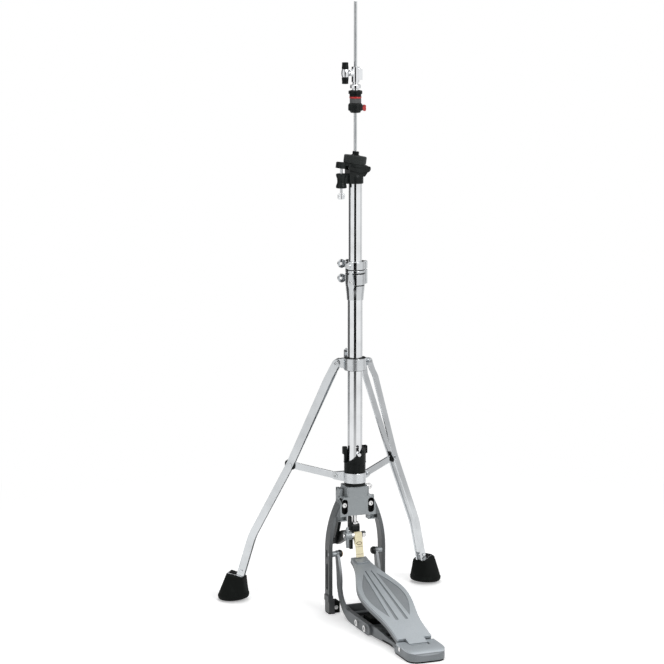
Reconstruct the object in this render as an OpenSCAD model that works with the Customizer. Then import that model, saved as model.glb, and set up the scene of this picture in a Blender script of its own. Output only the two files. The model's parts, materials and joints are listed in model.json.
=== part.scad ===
// Hi-hat stand with a lever-drive pedal, two folding legs and a swivel tripod.
// Millimetres, +Z up. The modules are written round the post axis; stand() then puts the
// middle of the footprint at the origin, on the floor. The pedal points along -Y.

/* [Post] */
// Outer diameter of the upper tube
upper_tube_d = 25.4; // [22:0.1:29]
// Wall of the upper tube
upper_tube_wall = 1.6; // [1:0.1:2.5]
// Length of the upper tube
upper_tube_len = 294; // [220:1:330]
// Height of the upper tube's lower end, clear of the rod's spring collar when lowered
upper_tube_z = 540; // [530:1:575]
// Wall of the lower tube
lower_tube_wall = 1.5; // [1:0.1:2.5]
// Height of the lower tube's lower end, inside the socket of the frame
lower_tube_z = 204; // [201:1:215]
// Height of the lower tube's upper end, inside the height clamp
lower_tube_top = 652; // [620:1:690]
// Radial play between the two tubes
tube_fit = 0.1; // [0.05:0.01:0.1]

/* [Height clamp and memory lock] */
// Wall of the clamp rings
clamp_wall = 4.6; // [3.5:0.1:7]
// Height of the height clamp's band
clamp_band_h = 29; // [22:1:36]
// Height of the tapered skirt under the band
clamp_skirt_h = 28; // [18:1:40]
// Height of the lip over the end of the lower tube
clamp_lip_h = 11; // [8:0.5:16]
// Height of the memory lock
memory_h = 16; // [13:0.5:20]
// Radial room between the rings and the upper tube
ring_gap = 0.4; // [0.3:0.05:0.8]
// Diameter of the wing bolts' shanks
wing_bolt_d = 6; // [5:0.5:8]
// Radius of a wing bolt's round wing
wing_r = 8.2; // [6:0.1:9]

/* [Cymbal seat] */
// Diameter of the seat felt
felt_d = 44; // [36:1:52]
// Thickness of the seat felt
felt_h = 16; // [12:0.5:20]
// Tilt of the seat at rest
seat_tilt = 8; // [2:0.5:9]
// Distance of the tilt hinge from the post axis
tilt_hinge_x = 17.5; // [17:0.5:20]
// Distance of the tilt screw from the post axis
tilt_screw_x = 28; // [27:0.5:31]
// Height of the cup on the end of the upper tube
cup_h = 27; // [22:1:36]
// Diameter of the tilt screw
tilt_screw_d = 5; // [4:0.5:6]
// Outer radius of the guide sleeve's tip
sleeve_tip_r = 6.2; // [5.9:0.1:7]

/* [Pull rod and clutch] */
// Diameter of the pull rod
rod_d = 6; // [5:0.1:7]
// Height of the pull rod's free end
rod_top = 1164; // [1090:1:1240]
// Height of the clutch's lower end
clutch_z = 958; // [946:1:1010]
// Radial play between the clutch and the rod
clutch_fit = 0.05; // [0.02:0.01:0.1]
// Diameter of the clutch's lower nut
clutch_nut_d = 27; // [23:0.5:32]
// Width of the clutch's clamp block
clutch_body_d = 15; // [13:0.5:19]
// Length of the T-handle of the clutch
clutch_handle_len = 42; // [32:1:54]

/* [Spring tension] */
// Outer diameter of the tension dial's base
dial_d = 41; // [39:0.5:46]
// Height of the tension dial's base ring
dial_base_h = 19; // [15:0.5:23]
// Rise of each helical ramp
ramp_rise = 28; // [20:0.5:32]
// Angle that each ramp covers
ramp_angle = 160; // [140:1:160]
// Diameter of the tension studs
stud_d = 5; // [4:0.25:6]
// Wire of the return spring
spring_wire = 2; // [1.4:0.1:2.4]
// Mean diameter of the return spring
spring_d = 17; // [14:0.5:19]
// Turns of the return spring
spring_turns = 12; // [8:1:14]
// Length of the return spring at rest
spring_len = 92; // [84:1:94]

/* [Tripod] */
// Angle between the two legs
leg_spread = 109; // [96:1:116]
// Turn of the tripod about the post at rest
tripod_turn = -2.5; // [-6:0.5:6]
// Wall of the two collars
collar_wall = 5.6; // [4.5:0.1:8]
// Height of the lower collar
lower_collar_h = 21; // [20:0.5:28]
// Height of the upper collar
upper_collar_h = 24; // [20:1:32]
// Height of the leg pivots
leg_pivot_z = 483; // [465:1:500]
// Distance of the leg pivots from the post axis
leg_pivot_r = 35; // [33:0.5:40]
// Distance of the brace pivots on the lower collar from the post axis
brace_pivot_r = 38; // [35:0.5:42]
// Distance of the rivet that joins leg and brace from the post axis
brace_joint_r = 129; // [118:1:136]
// Height of the rivet that joins leg and brace
brace_joint_z = 278; // [270:1:288]
// Distance of the foot's middle from the post axis
foot_r = 242; // [232:1:256]
// Width of the leg straps
strap_w = 14; // [11:0.5:16]
// Thickness of the leg straps and braces
strap_t = 3; // [2:0.1:4]
// Space between the leg straps at the brace rivet
strap_gap = 9; // [8.6:0.1:11]
// Space between the leg straps at the collar
ear_gap = 15; // [13:0.5:18]
// Diameter of the leg and brace rivets
rivet_d = 6; // [5:0.25:7]
// Diameter of the rubber foot where it meets the floor
foot_d = 62; // [52:1:70]
// Width of the rubber foot's top
foot_top_w = 37; // [34:1:44]
// Height of the rubber foot
foot_h = 51; // [46:1:58]

/* [Pedal frame] */
// Height of the top of the frame's socket
frame_top = 247; // [242:0.5:250]
// Height of the socket above the front plate
socket_h = 20; // [16:0.5:24]
// Wall of the socket
socket_wall = 2.2; // [1.8:0.1:2.4]
// Half of the frame's width at the arms
frame_half_w = 58; // [56:0.5:64]
// Thickness of the arms
arm_t = 7; // [5:0.25:8]
// Depth of the arms, front to back
arm_depth = 22; // [18:0.5:26]
// Radius of the arms' outer curve
arm_curve_r = 208; // [190:1:230]
// Height where the arms become straight
arm_curve_z = 124; // [118:1:130]
// Height of the front plate
front_plate_h = 36; // [30:0.5:40]
// Height of the fold pivots
fold_z = 117; // [108:0.5:122]
// Distance of the fold pivots in front of the post axis
fold_y = -10; // [-10:0.1:-8]
// Diameter of the fold bolts
fold_bolt_d = 6; // [5:0.25:6.5]

/* [Drive lever] */
// Distance of the fulcrum behind the post axis
fulcrum_y = 40; // [36:0.5:46]
// Height of the fulcrum
fulcrum_z = 133; // [128:0.5:138]
// Distance of the strap axle in front of the post axis
strap_axle_y = -14; // [-18:0.5:-13]
// Height of the strap axle
strap_axle_z = 152; // [146:0.5:158]
// Diameter of the fulcrum axle
fulcrum_d = 8; // [6:0.25:9]
// Diameter of the strap axle
strap_axle_d = 7; // [5:0.25:8]
// Thickness of the lever
lever_t = 8; // [6:0.25:9]
// Travel of the pull rod
rod_travel = 28; // [20:0.5:28]
// Width of the webbing strap
web_w = 15.5; // [12:0.5:16]
// Thickness of the webbing strap
web_t = 2; // [1.4:0.1:2.4]

/* [Pedal] */
// Distance of the heel hinge in front of the post axis
heel_y = -313; // [-330:1:-300]
// Height of the heel hinge
heel_z = 15; // [13:0.5:17]
// Distance of the strap's toe end in front of the post axis
toe_y = -28; // [-32:0.5:-25]
// Height of the footboard's top face at the strap
toe_z = 107; // [98:0.5:111]
// Half of the footboard's width at the ball of the foot
board_half_w = 46.8; // [42:0.2:50]
// Half of the footboard's width at the toe
board_toe_half_w = 15.5; // [13:0.25:18]
// Half of the footboard's width at the heel
board_heel_half_w = 33.2; // [30:0.2:35]
// Thickness of the footboard's plate
board_t = 4; // [3:0.1:5.5]
// Depth of the rim under the footboard
board_rim_h = 7; // [5:0.25:8.5]
// Half of the hinge tongue's width
tongue_half_w = 18; // [14:0.5:21]
// Thickness of the side plates
side_plate_t = 5; // [4:0.1:6.5]
// Distance of the side plates' inner faces from the middle
side_plate_x = 37.3; // [36:0.1:39]
// Height of the side rails
rail_h = 21; // [18:0.5:24]
// Half of the heel plate's width
heel_half_w = 37; // [34:0.5:41]
// Height of the heel plate's top
heel_h = 22; // [20:0.25:24]
// Distance of the heel plate's front edge from the post axis
heel_front_y = -362; // [-375:1:-350]
// Thickness of the rubber pads under the base
pad_t = 3; // [2:0.25:4]

/* [Hidden] */
$fn = 64;

// Clearances: a turning pin in its hole, two flat faces that slide, a soft piece by its neighbour
pin_fit = 0.06;
face_gap = 0.3;
cut = 1;

// Radii of the tubes
upper_r = upper_tube_d / 2;
lower_in_r = upper_r + tube_fit;
lower_r = lower_in_r + lower_tube_wall;

// Rings on the post
clamp_r = lower_r + clamp_wall;
clamp_top = lower_tube_top + clamp_lip_h;
clamp_z = clamp_top - clamp_band_h;
memory_z = clamp_top + face_gap;
clamp_lug_z = clamp_z - 10;
boss_rise = 2.6;
lug_t = 4.5;
lug_slit = 2;
lug_half = lug_slit / 2 + lug_t;
wing_bolt_y = clamp_r + wing_r + 1.2;
lug_y = wing_bolt_y + wing_bolt_d;
wing_t = 4;

// Cymbal seat, stacked on the end of the upper tube
upper_tube_top = upper_tube_z + upper_tube_len;
cup_top = upper_tube_top + 12;
tilt_hinge_z = cup_top + 8;
tilt_plate_t = 5;
tilt_plate_rise = 6;
hinge_boss_r = 6;
rod_r = rod_d / 2;
sleeve_bore_r = rod_r + 2.4;
sleeve_base_r = sleeve_tip_r + 2.4;
sleeve_len = felt_h + 7.4;
hinge_half = 11;
// Block over the cup, between the two skirts of the tilt plate
tilt_block_half = 13.2;
tilt_block_x = [-16, 8];
tilt_block_top = cup_top + 6;
skirt_in = tilt_block_half + 0.4;
skirt_t = 3.6;
boss_r = 10.2;
boss_z = cup_top - 28;
boss_top = cup_top - 1;
cup_bottom = cup_top - 20;
lobe_r = 9.8;
lobe_h = 11.5;
lobe_x = -(tilt_hinge_x + tilt_screw_x) / cos(seat_tilt);
rod_way_r = rod_r + 5;
// The rod crosses the sleeve's axis near the top of the felt, as the bore is widest below it
seat_cross_h = tilt_plate_rise + 0.85 * felt_h;
seat_axis_x = -tilt_hinge_x / cos(seat_tilt) - seat_cross_h * tan(seat_tilt);

// Clutch, from its lower nut up
nut_h = 18;
clutch_felt_z = clutch_z + nut_h;
clutch_felt_h = 9;
clutch_ring_z = clutch_felt_z + clutch_felt_h;
clutch_ring_h = 3;
clutch_sleeve_z = clutch_ring_z + clutch_ring_h;
clutch_sleeve_h = 12;
clutch_body_z = clutch_sleeve_z + clutch_sleeve_h;
clamp_block_z = clutch_body_z + 15;
clamp_block_h = 28;
handle_z = clamp_block_z + clamp_block_h * 0.6;
handle_x = -clutch_body_d / 2 - 13;
rod_bore_r = rod_r + clutch_fit;
thread_r = 6;
release_x = clutch_nut_d / 2 - 1.2;
release_z = clutch_z + 8.5;
release_pin_x = -1.6;

// Tension dial, stacked on the lower collar
bush_flange = 5;
lower_collar_z = frame_top + bush_flange + face_gap;
dial_z = lower_collar_z + lower_collar_h + face_gap;
dial_r = dial_d / 2;
dial_bore_r = lower_r + face_gap;
ramp_in_r = dial_bore_r + 1.4;
ramp_out_r = dial_r + 1;
ramp_z = dial_z + dial_base_h;
ramp_start = 270 - ramp_angle / 2;
ramp_sink = 0.6;
ear_top = ramp_z + ramp_rise + 2.5;
ear_h = 14;
stud_slope = atan(ramp_rise / (ramp_angle * PI / 180 * ramp_in_r));
stud_z = ramp_z + ramp_rise / 2 + stud_d / 2 / cos(stud_slope) + face_gap;
stud_half = 50;
slot_extra = 5;
stud_travel = ramp_rise * stud_half / ramp_angle;
seat_half_h = stud_d / 2 + 2;
spring_z = stud_z + seat_half_h + face_gap + spring_wire / 2;
spring_collar_z = spring_z + spring_len + spring_wire / 2 + face_gap;
spring_r = spring_d / 2;
spring_rings = 8;
spring_steps = spring_turns * spring_rings;
spring_path = [for (i = [0:spring_steps]) let (a = 360 * i / spring_rings)
    [spring_r * cos(a), spring_r * sin(a), spring_z + spring_len * i / spring_steps]];
spring_self_gap = spring_len / spring_turns - spring_wire;

// Tripod, with the legs given by their distance from the post axis and their height
collar_in_r = lower_r + 2.4;
collar_r = lower_r + 1.4 + collar_wall;
lower_mid_z = lower_collar_z + lower_collar_h / 2;
upper_collar_z = leg_pivot_z - upper_collar_h / 2;
left_angle = 90 + leg_spread / 2 + tripod_turn;
right_angle = 90 - leg_spread / 2 + tripod_turn;
rivet_r = rivet_d / 2;
ear_r = strap_w / 2;
leg_kick = 13;
leg_path = [[leg_pivot_r, leg_pivot_z], [leg_pivot_r + leg_kick, leg_pivot_z - 25],
    [brace_joint_r, brace_joint_z], [foot_r - 35, brace_joint_z / 2 - 8], [foot_r - 6, 34]];
foot_bolt = leg_path[4] + (leg_path[3] - leg_path[4]) * (foot_h + 9 - leg_path[4].y)
    / (leg_path[3].y - leg_path[4].y);
brace_path = [[brace_pivot_r, lower_mid_z], [brace_joint_r, brace_joint_z]];
foot_base_r = foot_r + 4;
foot_splay = 5;
foot_sole_d = 0.7 * foot_d;
foot_lean = 13;
foot_rim_h = 11;
foot_top_x = leg_path[4].x + (leg_path[3].x - leg_path[4].x) * (foot_h - leg_path[4].y)
    / (leg_path[3].y - leg_path[4].y) + 9;
lug_half_t = ear_gap / 2 - face_gap;
brace_ear = strap_t / 2 + face_gap;
strap_out = strap_gap / 2 + strap_t;
head_h = 2;
collar_boss_y = collar_r + 6;
collar_wing_y = collar_r + 20;
collar_wing_r = 22;

// Pedal frame
socket_r = lower_r + socket_wall;
plate_top = frame_top - socket_h;
plate_bottom = plate_top - front_plate_h;
arm_front = -14;
arm_back = arm_front + arm_depth;
arm_in = frame_half_w - arm_t;
arm_centre = frame_half_w - arm_curve_r;
plate_front = arm_front - 3;
crown_half = 30;
crown_back = lower_r + 9;
crown_bottom = plate_bottom + 5;
socket_half = 21;
socket_slot = 3;
cheek_top = frame_top - 7;
slot_depth = 11;
slot_screw_z = plate_bottom + front_plate_h / 2 + 3;
foot_pad_h = 24;
foot_block_h = 12;
foot_pad_x = arm_in - 9;
foot_pad_front = arm_front + 5;
side_plate_out = side_plate_x + side_plate_t;

// Lever: the rod hangs from the line between fulcrum and strap axle, where it crosses the post axis
lever_slope = (strap_axle_z - fulcrum_z) / (fulcrum_y - strap_axle_y);
link_pin_z = fulcrum_z + lever_slope * fulcrum_y;
link_pin_r = 3;
lever_x = -17;
lever_in_x = lever_x - lever_t;
bracket_x = lever_in_x - face_gap;
bracket_t = 6;
strap_hub_r = strap_axle_d / 2 + 5;
strap_hub_x = [-26, -14];
axle_nut_x = web_w / 2 + 1;
link_half = 7.5;
link_top = link_pin_z + 24;
link_cheek = 5;
link_cheek_h = 15;
coupler_z = spring_collar_z + 40;
coupler_h = 26;
connector_z = link_top;

// Pedal
board_angle = atan((toe_z - heel_h) / (toe_y - heel_y));
board_len = norm([toe_y - heel_y, toe_z - heel_h]);
board_widest = 170;
board_neck = 60;
board_heel_edge = 20;
knuckle_r = 5.5;
knuckle_half_w = tongue_half_w - 0.5;
heel_pin_d = 5;
heel_notch_y = heel_y - 9;
heel_back_y = heel_y + 26;
base_half = side_plate_x - face_gap / 3;
base_heel_half = 30;
base_wall = 4;
base_front_y = -44;
rail_end_y = -170;
toe_plate_t = 2.5;
rail_screw_y = [-120, -160];
rail_mid_z = 1 + rail_h / 2;
slat_count = 7;
slat_pitch = 9;
slat_y = -142;
slat_h = 7;
block_half = 21;
block_y = -132;
block_h = 14;
leaf_start = 93;
leaf_end = 245;
leaf_depth = 22;

// Webbing strap, from the strap axle to the toe of the footboard
strap_loop_r = strap_axle_d / 2 + face_gap + web_t / 2;
strap_top = [strap_axle_y, strap_axle_z];
strap_toe = [toe_y, toe_z + toe_plate_t + web_t];
strap_way = unit(strap_toe - strap_top);
strap_side = left_of(strap_way);
strap_loop = arc(strap_top, strap_loop_r, heading(strap_side) + 180, heading(strap_side), 14);
seam_drop = 20;
seam_side = 0.8 * web_t - strap_loop_r * (1 - seam_drop / norm(strap_toe - strap_top));
strap_seam = strap_top + seam_drop * strap_way + seam_side * strap_side;

// The footprint runs from the heel to the feet, and its middle is the origin
foot_rim_r = foot_base_r + foot_rim_h * sin(foot_splay);
footprint_x = foot_rim_r * (cos(left_angle) + cos(right_angle)) / 2;
footprint_y = (heel_front_y + foot_rim_r * max(sin(left_angle), sin(right_angle)) + foot_d / 2) / 2;

steel = "#c9ccd0";
cast_grey = "#8d9295";
black = "#1c1d1f";

module stand() translate([-footprint_x, -footprint_y, 0]) children();

// Outlines

function arc(c, r, a0, a1, n = 12) =
    [for (i = [0:n]) let (a = a0 + (a1 - a0) * i / n) c + r * [cos(a), sin(a)]];

function bezier(a, b, c, d, n = 10) = [for (i = [0:n]) let (t = i / n, u = 1 - t)
    a * pow(u, 3) + b * 3 * u * u * t + c * 3 * u * t * t + d * pow(t, 3)];

function unit(v) = v / norm(v);
function left_of(v) = [-v.y, v.x];
function heading(v) = atan2(v.y, v.x);
function reversed(points) = [for (i = [len(points) - 1:-1:0]) points[i]];
function mirrored(points) = [for (p = reversed(points)) [-p.x, p.y]];

// Path with each inner corner replaced by an arc that starts a given distance before it
function eased(p, reach, n = 6) = [for (i = [0:len(p) - 1])
    each (i == 0 || i == len(p) - 1) ? [p[i]]
        : let (a = p[i] + unit(p[i - 1] - p[i]) * reach, b = p[i] + unit(p[i + 1] - p[i]) * reach)
            [for (k = [0:n]) let (t = k / n) a * pow(1 - t, 2) + p[i] * 2 * t * (1 - t) + b * t * t]];

// Outline of a band of one width along a path, with round ends
function band(p, w, n = 10) = let (
    last = len(p) - 1,
    way = [for (i = [0:last]) unit(p[min(i + 1, last)] - p[max(i - 1, 0)])],
    side = [for (i = [0:last]) left_of(way[i]) * w / 2])
    concat([for (i = [0:last]) p[i] + side[i]],
        arc(p[last], w / 2, heading(way[last]) + 90, heading(way[last]) - 90, n),
        [for (i = [last:-1:0]) p[i] - side[i]],
        arc(p[0], w / 2, heading(way[0]) - 90, heading(way[0]) - 270, n));

// Rectangle with round corners, as an outline
function pill(c, w, h, r, n = 6) = concat(
    arc(c + [w / 2 - r, h / 2 - r], r, 0, 90, n), arc(c + [r - w / 2, h / 2 - r], r, 90, 180, n),
    arc(c + [r - w / 2, r - h / 2], r, 180, 270, n), arc(c + [w / 2 - r, r - h / 2], r, 270, 360, n));

// Solids along the axes: an outline drawn in YZ and run along X, or drawn in XZ and run along Y

module along_x(x0, x1) translate([x0, 0, 0]) rotate([90, 0, 90]) linear_extrude(x1 - x0) children();

module along_y(y0, y1) translate([0, y1, 0]) rotate([90, 0, 0]) linear_extrude(y1 - y0) children();

module x_rod(x0, x1, y, z, d) translate([x0, y, z]) rotate([0, 90, 0]) cylinder(h = x1 - x0, d = d);

module y_rod(y0, y1, x, z, d) translate([x, y0, z]) rotate([-90, 0, 0]) cylinder(h = y1 - y0, d = d);

module z_tube(z0, z1, r_out, r_in) translate([0, 0, z0]) difference() {
    cylinder(h = z1 - z0, r = r_out);
    translate([0, 0, -cut]) cylinder(h = z1 - z0 + 2 * cut, r = r_in);
}

module both_sides() {
    children();
    mirror([1, 0, 0]) children();
}

// Screw head with a hexagon socket, on a shank along -Z from the origin
module socket_screw(d, head_d, head_h, len) difference() {
    union() {
        cylinder(h = head_h, d = head_d);
        translate([0, 0, -len]) cylinder(h = len + cut / 2, d = d);
    }
    translate([0, 0, head_h / 2]) cylinder(h = head_h, d = head_d * 0.5, $fn = 6);
}

// Wing bolt along X: the round wing stands on the -X side of the lugs
module wing_bolt(z) {
    hub_x = -lug_half - face_gap - 4;
    translate([0, wing_bolt_y, z]) {
        x_rod(hub_x, lug_half + 3, 0, 0, wing_bolt_d);
        x_rod(hub_x, hub_x + 4, 0, 0, wing_bolt_d + 5);
        difference() {
            translate([hub_x - wing_r + 2, wing_t / 2, 0]) rotate([90, 0, 0])
                cylinder(h = wing_t, r = wing_r);
            translate([hub_x - wing_r, wing_t, 0]) rotate([90, 0, 0])
                cylinder(h = 2 * wing_t, r = wing_r * 0.34);
        }
    }
    translate([lug_half + face_gap, wing_bolt_y, z]) rotate([0, 90, 0])
        cylinder(h = 4, d = wing_bolt_d + 4, $fn = 6);
}

// Split lugs behind a ring, with the bolt's hole
module ring_lugs(z0, z1, in_r) difference() {
    translate([-lug_half, in_r, z0]) cube([2 * lug_half, lug_y - in_r, z1 - z0]);
    x_rod(-lug_half - cut, lug_half + cut, wing_bolt_y, (z0 + z1) / 2, wing_bolt_d + 2 * face_gap);
}

// Hinge knuckle on the +X side of a ring, with its pin's head proud of both ends
module ring_knuckle(z0, z1, r) {
    translate([r + 1.5, 0, z0]) cylinder(h = z1 - z0, r = 4.2);
    translate([r + 1.5, 0, z0 - 1]) cylinder(h = z1 - z0 + 2, r = 2.4);
}

// Outline raised from a ring's outer face, at an angle about the post
module ring_boss(angle) rotate([0, 0, angle]) translate([lower_r, 0, 0]) rotate([90, 0, 90])
    linear_extrude(clamp_r - lower_r + boss_rise) children();

// Rib down the clamp's front left, which runs out on the skirt
module clamp_rib() intersection() {
    rib_top = clamp_top - 0.4;
    rib_end = rib_top - 46;
    rib_r = clamp_r + boss_rise - 0.2;
    ring_boss(225) polygon(concat(
        bezier([2.4, rib_top], [3, rib_top - 12], [9, rib_top - 24], [5, rib_top - 32], 8),
        bezier([4.8, rib_top - 33], [3, rib_top - 38], [1.6, rib_end + 3], [1, rib_end], 6),
        bezier([-1, rib_end], [-1.6, rib_end + 3], [-3, rib_top - 38], [-4.8, rib_top - 33], 6),
        bezier([-5, rib_top - 32], [-9, rib_top - 24], [-3, rib_top - 12], [-2.4, rib_top], 8)));
    rotate_extrude() polygon([[0, rib_end - 1], [lower_r + 2.2, rib_end - 1], [rib_r, clamp_z + 2],
        [rib_r, clamp_top - 6], [clamp_r + 0.6, clamp_top], [0, clamp_top]]);
}

module ring_slit(z0, z1) translate([-lug_slit / 2, 0, z0 - cut])
    cube([lug_slit, lug_y + cut, z1 - z0 + 2 * cut]);

// Post

module lower_tube() color(steel) stand() difference() {
    z_tube(lower_tube_z, lower_tube_top, lower_r, lower_in_r);
    along_y(-lower_r - cut, lower_r + cut)
        polygon(pill([0, stud_z + slot_extra / 2], stud_d + 2 * face_gap,
            2 * stud_travel + stud_d + 2 + slot_extra, stud_d / 2));
}

module upper_tube() color(steel) stand()
    z_tube(upper_tube_z, upper_tube_top, upper_r, upper_r - upper_tube_wall);

module height_clamp() color(steel) stand() difference() {
    union() {
        rotate_extrude() polygon(concat(
            [[0, clamp_z - clamp_skirt_h], [lower_r + 1.6, clamp_z - clamp_skirt_h]],
            bezier([lower_r + 1.6, clamp_z - clamp_skirt_h + 2], [lower_r + 2, clamp_z - 14],
                [clamp_r - 1, clamp_z - 10], [clamp_r - 1, clamp_z - 1.2], 8),
            [[clamp_r - 2.4, clamp_z - 1.2], [clamp_r - 2.4, clamp_z], [clamp_r, clamp_z + 1],
                [clamp_r, clamp_top - 8], [clamp_r - 2, clamp_top - 7.2], [clamp_r - 2, clamp_top - 6],
                [clamp_r, clamp_top - 5.2], [clamp_r, clamp_top - 1], [clamp_r - 1, clamp_top],
                [0, clamp_top]]));
        ring_lugs(clamp_lug_z, clamp_top, lower_r + 1);
        ring_knuckle(clamp_z + 2, clamp_top - 1, clamp_r);
        clamp_rib();
    }
    translate([0, 0, clamp_z - clamp_skirt_h - cut])
        cylinder(h = lower_tube_top - clamp_z + clamp_skirt_h + cut, r = lower_r);
    translate([0, 0, lower_tube_top - cut]) cylinder(h = clamp_lip_h + 2 * cut, r = upper_r + ring_gap);
    translate([0, 0, lower_tube_top - cut]) cylinder(h = cut + 4, r = lower_r);
    ring_slit(clamp_lug_z - 1, clamp_top);
}

module tube_bush() color(black) stand()
    z_tube(lower_tube_top, lower_tube_top + 4, lower_r, upper_r + tube_fit);

module clamp_bolt() color(steel) stand() wing_bolt((clamp_lug_z + clamp_top) / 2);

module memory_lock() color(steel) stand() difference() {
    union() {
        rotate_extrude() polygon([[0, memory_z], [clamp_r - 1, memory_z], [clamp_r, memory_z + 1],
            [clamp_r, memory_z + memory_h - 1], [clamp_r - 1, memory_z + memory_h],
            [0, memory_z + memory_h]]);
        ring_lugs(memory_z + 1, memory_z + memory_h - 1, lower_r);
        ring_knuckle(memory_z + 1.2, memory_z + memory_h - 1, clamp_r);
        ring_boss(208)
            polygon(pill([0, memory_z + memory_h / 2], memory_h - 5, memory_h - 5, memory_h / 2 - 2.6));
    }
    translate([0, 0, memory_z - cut]) cylinder(h = memory_h + 2 * cut, r = upper_r + ring_gap);
    ring_slit(memory_z, memory_z + memory_h);
}

module memory_bolt() color(steel) stand() wing_bolt(memory_z + memory_h / 2);

// Cymbal seat

function lobed_plate(x_left, x_right, r_mid, r_end) = let (grow = 4) concat(
    arc([x_right, 0], r_end, -90, 90, 8),
    bezier([x_right - grow, r_end], [r_mid, r_end + 2], [r_mid * 0.7, r_mid], [0, r_mid], 8),
    bezier([0, r_mid], [-r_mid * 0.7, r_mid], [-r_mid, r_end + 2], [x_left + grow, r_end], 8),
    arc([x_left, 0], r_end, 90, 270, 8),
    bezier([x_left + grow, -r_end], [-r_mid, -r_end - 2], [-r_mid * 0.7, -r_mid], [0, -r_mid], 8),
    bezier([0, -r_mid], [r_mid * 0.7, -r_mid], [r_mid, -r_end - 2], [x_right - grow, -r_end], 8));

module tilter_body() color(black) stand() difference() {
    union() {
        rotate_extrude() polygon([
            [0, cup_bottom], [upper_r + 2.2, cup_bottom], [upper_r + 2.6, cup_bottom + 1],
            [upper_r + 2.6, cup_top - 7.5], [upper_r + 1, cup_top - 3], [0, cup_top - 3]]);
        translate([tilt_block_x[0], -tilt_block_half, upper_tube_top - 5])
            cube([tilt_block_x[1] - tilt_block_x[0], 2 * tilt_block_half,
                tilt_block_top - upper_tube_top + 5]);
        along_y(-12, 12) polygon([[tilt_block_x[1] - 1, cup_top + 1.2], [tilt_hinge_x + 3.5, cup_top + 1.2],
            [upper_r + 2.2, cup_top - 7], [tilt_block_x[1] - 1, cup_top - 7]]);
        along_y(-4.5, 4.5) polygon(concat(arc([tilt_hinge_x, tilt_hinge_z], hinge_boss_r, -60, 120, 14),
            [[tilt_block_x[1] - 2, tilt_block_top - 1], [tilt_block_x[1] - 2, cup_top - 9],
                [tilt_hinge_x - 3, cup_top - 4]]));
        translate([-tilt_screw_x, 0, 0]) rotate_extrude() polygon(concat([[0, boss_z], [boss_r - 1, boss_z]],
            bezier([boss_r, boss_z + 1], [boss_r, boss_z + 9], [boss_r - 2.6, boss_z + 6],
                [boss_r - 2.4, (boss_z + boss_top) / 2], 8),
            bezier([boss_r - 2.4, (boss_z + boss_top) / 2], [boss_r - 2, boss_top - 5],
                [boss_r, boss_top - 7], [boss_r, boss_top - 1], 8),
            [[boss_r - 1, boss_top], [0, boss_top]]));
        translate([-tilt_screw_x, -6.5, cup_top - 20]) cube([tilt_screw_x - upper_r, 13, 18.4]);
    }
    translate([0, 0, upper_tube_top - 60]) cylinder(h = 60, r = upper_r);
    translate([0, 0, upper_tube_top - cut]) cylinder(h = 60, r = rod_way_r);
    y_rod(-20, 20, tilt_hinge_x, tilt_hinge_z, 5);
    translate([-tilt_screw_x, 0, cup_top - 60]) cylinder(h = 80, d = tilt_screw_d + 2 * pin_fit);
    y_rod(-upper_r - 8, 0, -tilt_screw_x / 4, upper_tube_top - 3, 2.4);
}

module tilt_pin() color(steel) stand() y_rod(-hinge_half, hinge_half, tilt_hinge_x, tilt_hinge_z, 5);

// Frame of the tilted seat: its origin on the hinge axis, +Z square to the felt
module seat_frame() translate([tilt_hinge_x, 0, tilt_hinge_z]) rotate([0, seat_tilt, 0]) children();

// Side view of the tilt plate's skirts, which hide the gap over the cup and run into the hinge
function skirt_line() = let (left = lobe_x + lobe_r - 1, low = tilt_plate_rise - 12) concat(
    [[left, tilt_plate_rise - 1], [left - 1, low + 4], [left + 3, low - 0.5], [left + 12, low - 1.5],
        [seat_axis_x + 8, low - 3.5]],
    arc([0, 0], hinge_boss_r + 1, -110, 40, 10), [[2, tilt_plate_rise - 1]]);

module tilt_plate() color(black) stand() seat_frame() difference() {
    union() {
        translate([0, 0, -tilt_plate_t + tilt_plate_rise]) linear_extrude(tilt_plate_t)
            translate([seat_axis_x, 0])
                polygon(lobed_plate(lobe_x - seat_axis_x, -seat_axis_x - 4, felt_d / 2 - 1, lobe_r - 0.6));
        translate([-hinge_boss_r - 2, -skirt_in - 0.6, tilt_plate_rise - tilt_plate_t])
            cube([hinge_boss_r + 2, 2 * skirt_in + 1.2, tilt_plate_t - 0.6]);
        translate([lobe_x, 0, tilt_plate_rise - lobe_h]) linear_extrude(lobe_h - 0.8)
            polygon(pill([0, 0], 2 * lobe_r, 2 * lobe_r, lobe_r - 2));
        for (s = [-1, 1]) {
            along_y(s * 7.9 - 3, s * 7.9 + 3) polygon(concat(
                arc([0, 0], hinge_boss_r, -120, 60, 12),
                [[-1, tilt_plate_rise - 2], [-hinge_boss_r - 1, tilt_plate_rise - 2],
                    [-hinge_boss_r - 1, tilt_plate_rise - tilt_plate_t]]));
            along_y(s * (skirt_in + skirt_t / 2) - skirt_t / 2, s * (skirt_in + skirt_t / 2) + skirt_t / 2)
                polygon(skirt_line());
        }
    }
    translate([0, -4.5 - face_gap, -20]) translate([-hinge_boss_r - 2.5, 0, 0])
        cube([30, 9 + 2 * face_gap, 40]);
    y_rod(-hinge_half - 1, hinge_half + 1, 0, 0, 5 + 2 * pin_fit);
    translate([seat_axis_x, 0, -20]) cylinder(h = 40, r = sleeve_base_r);
    translate([lobe_x, 0, -20]) linear_extrude(tilt_plate_rise + 17)
        polygon(pill([0, 0], tilt_screw_d + 6, tilt_screw_d + 1.4, tilt_screw_d / 2));
}

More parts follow.
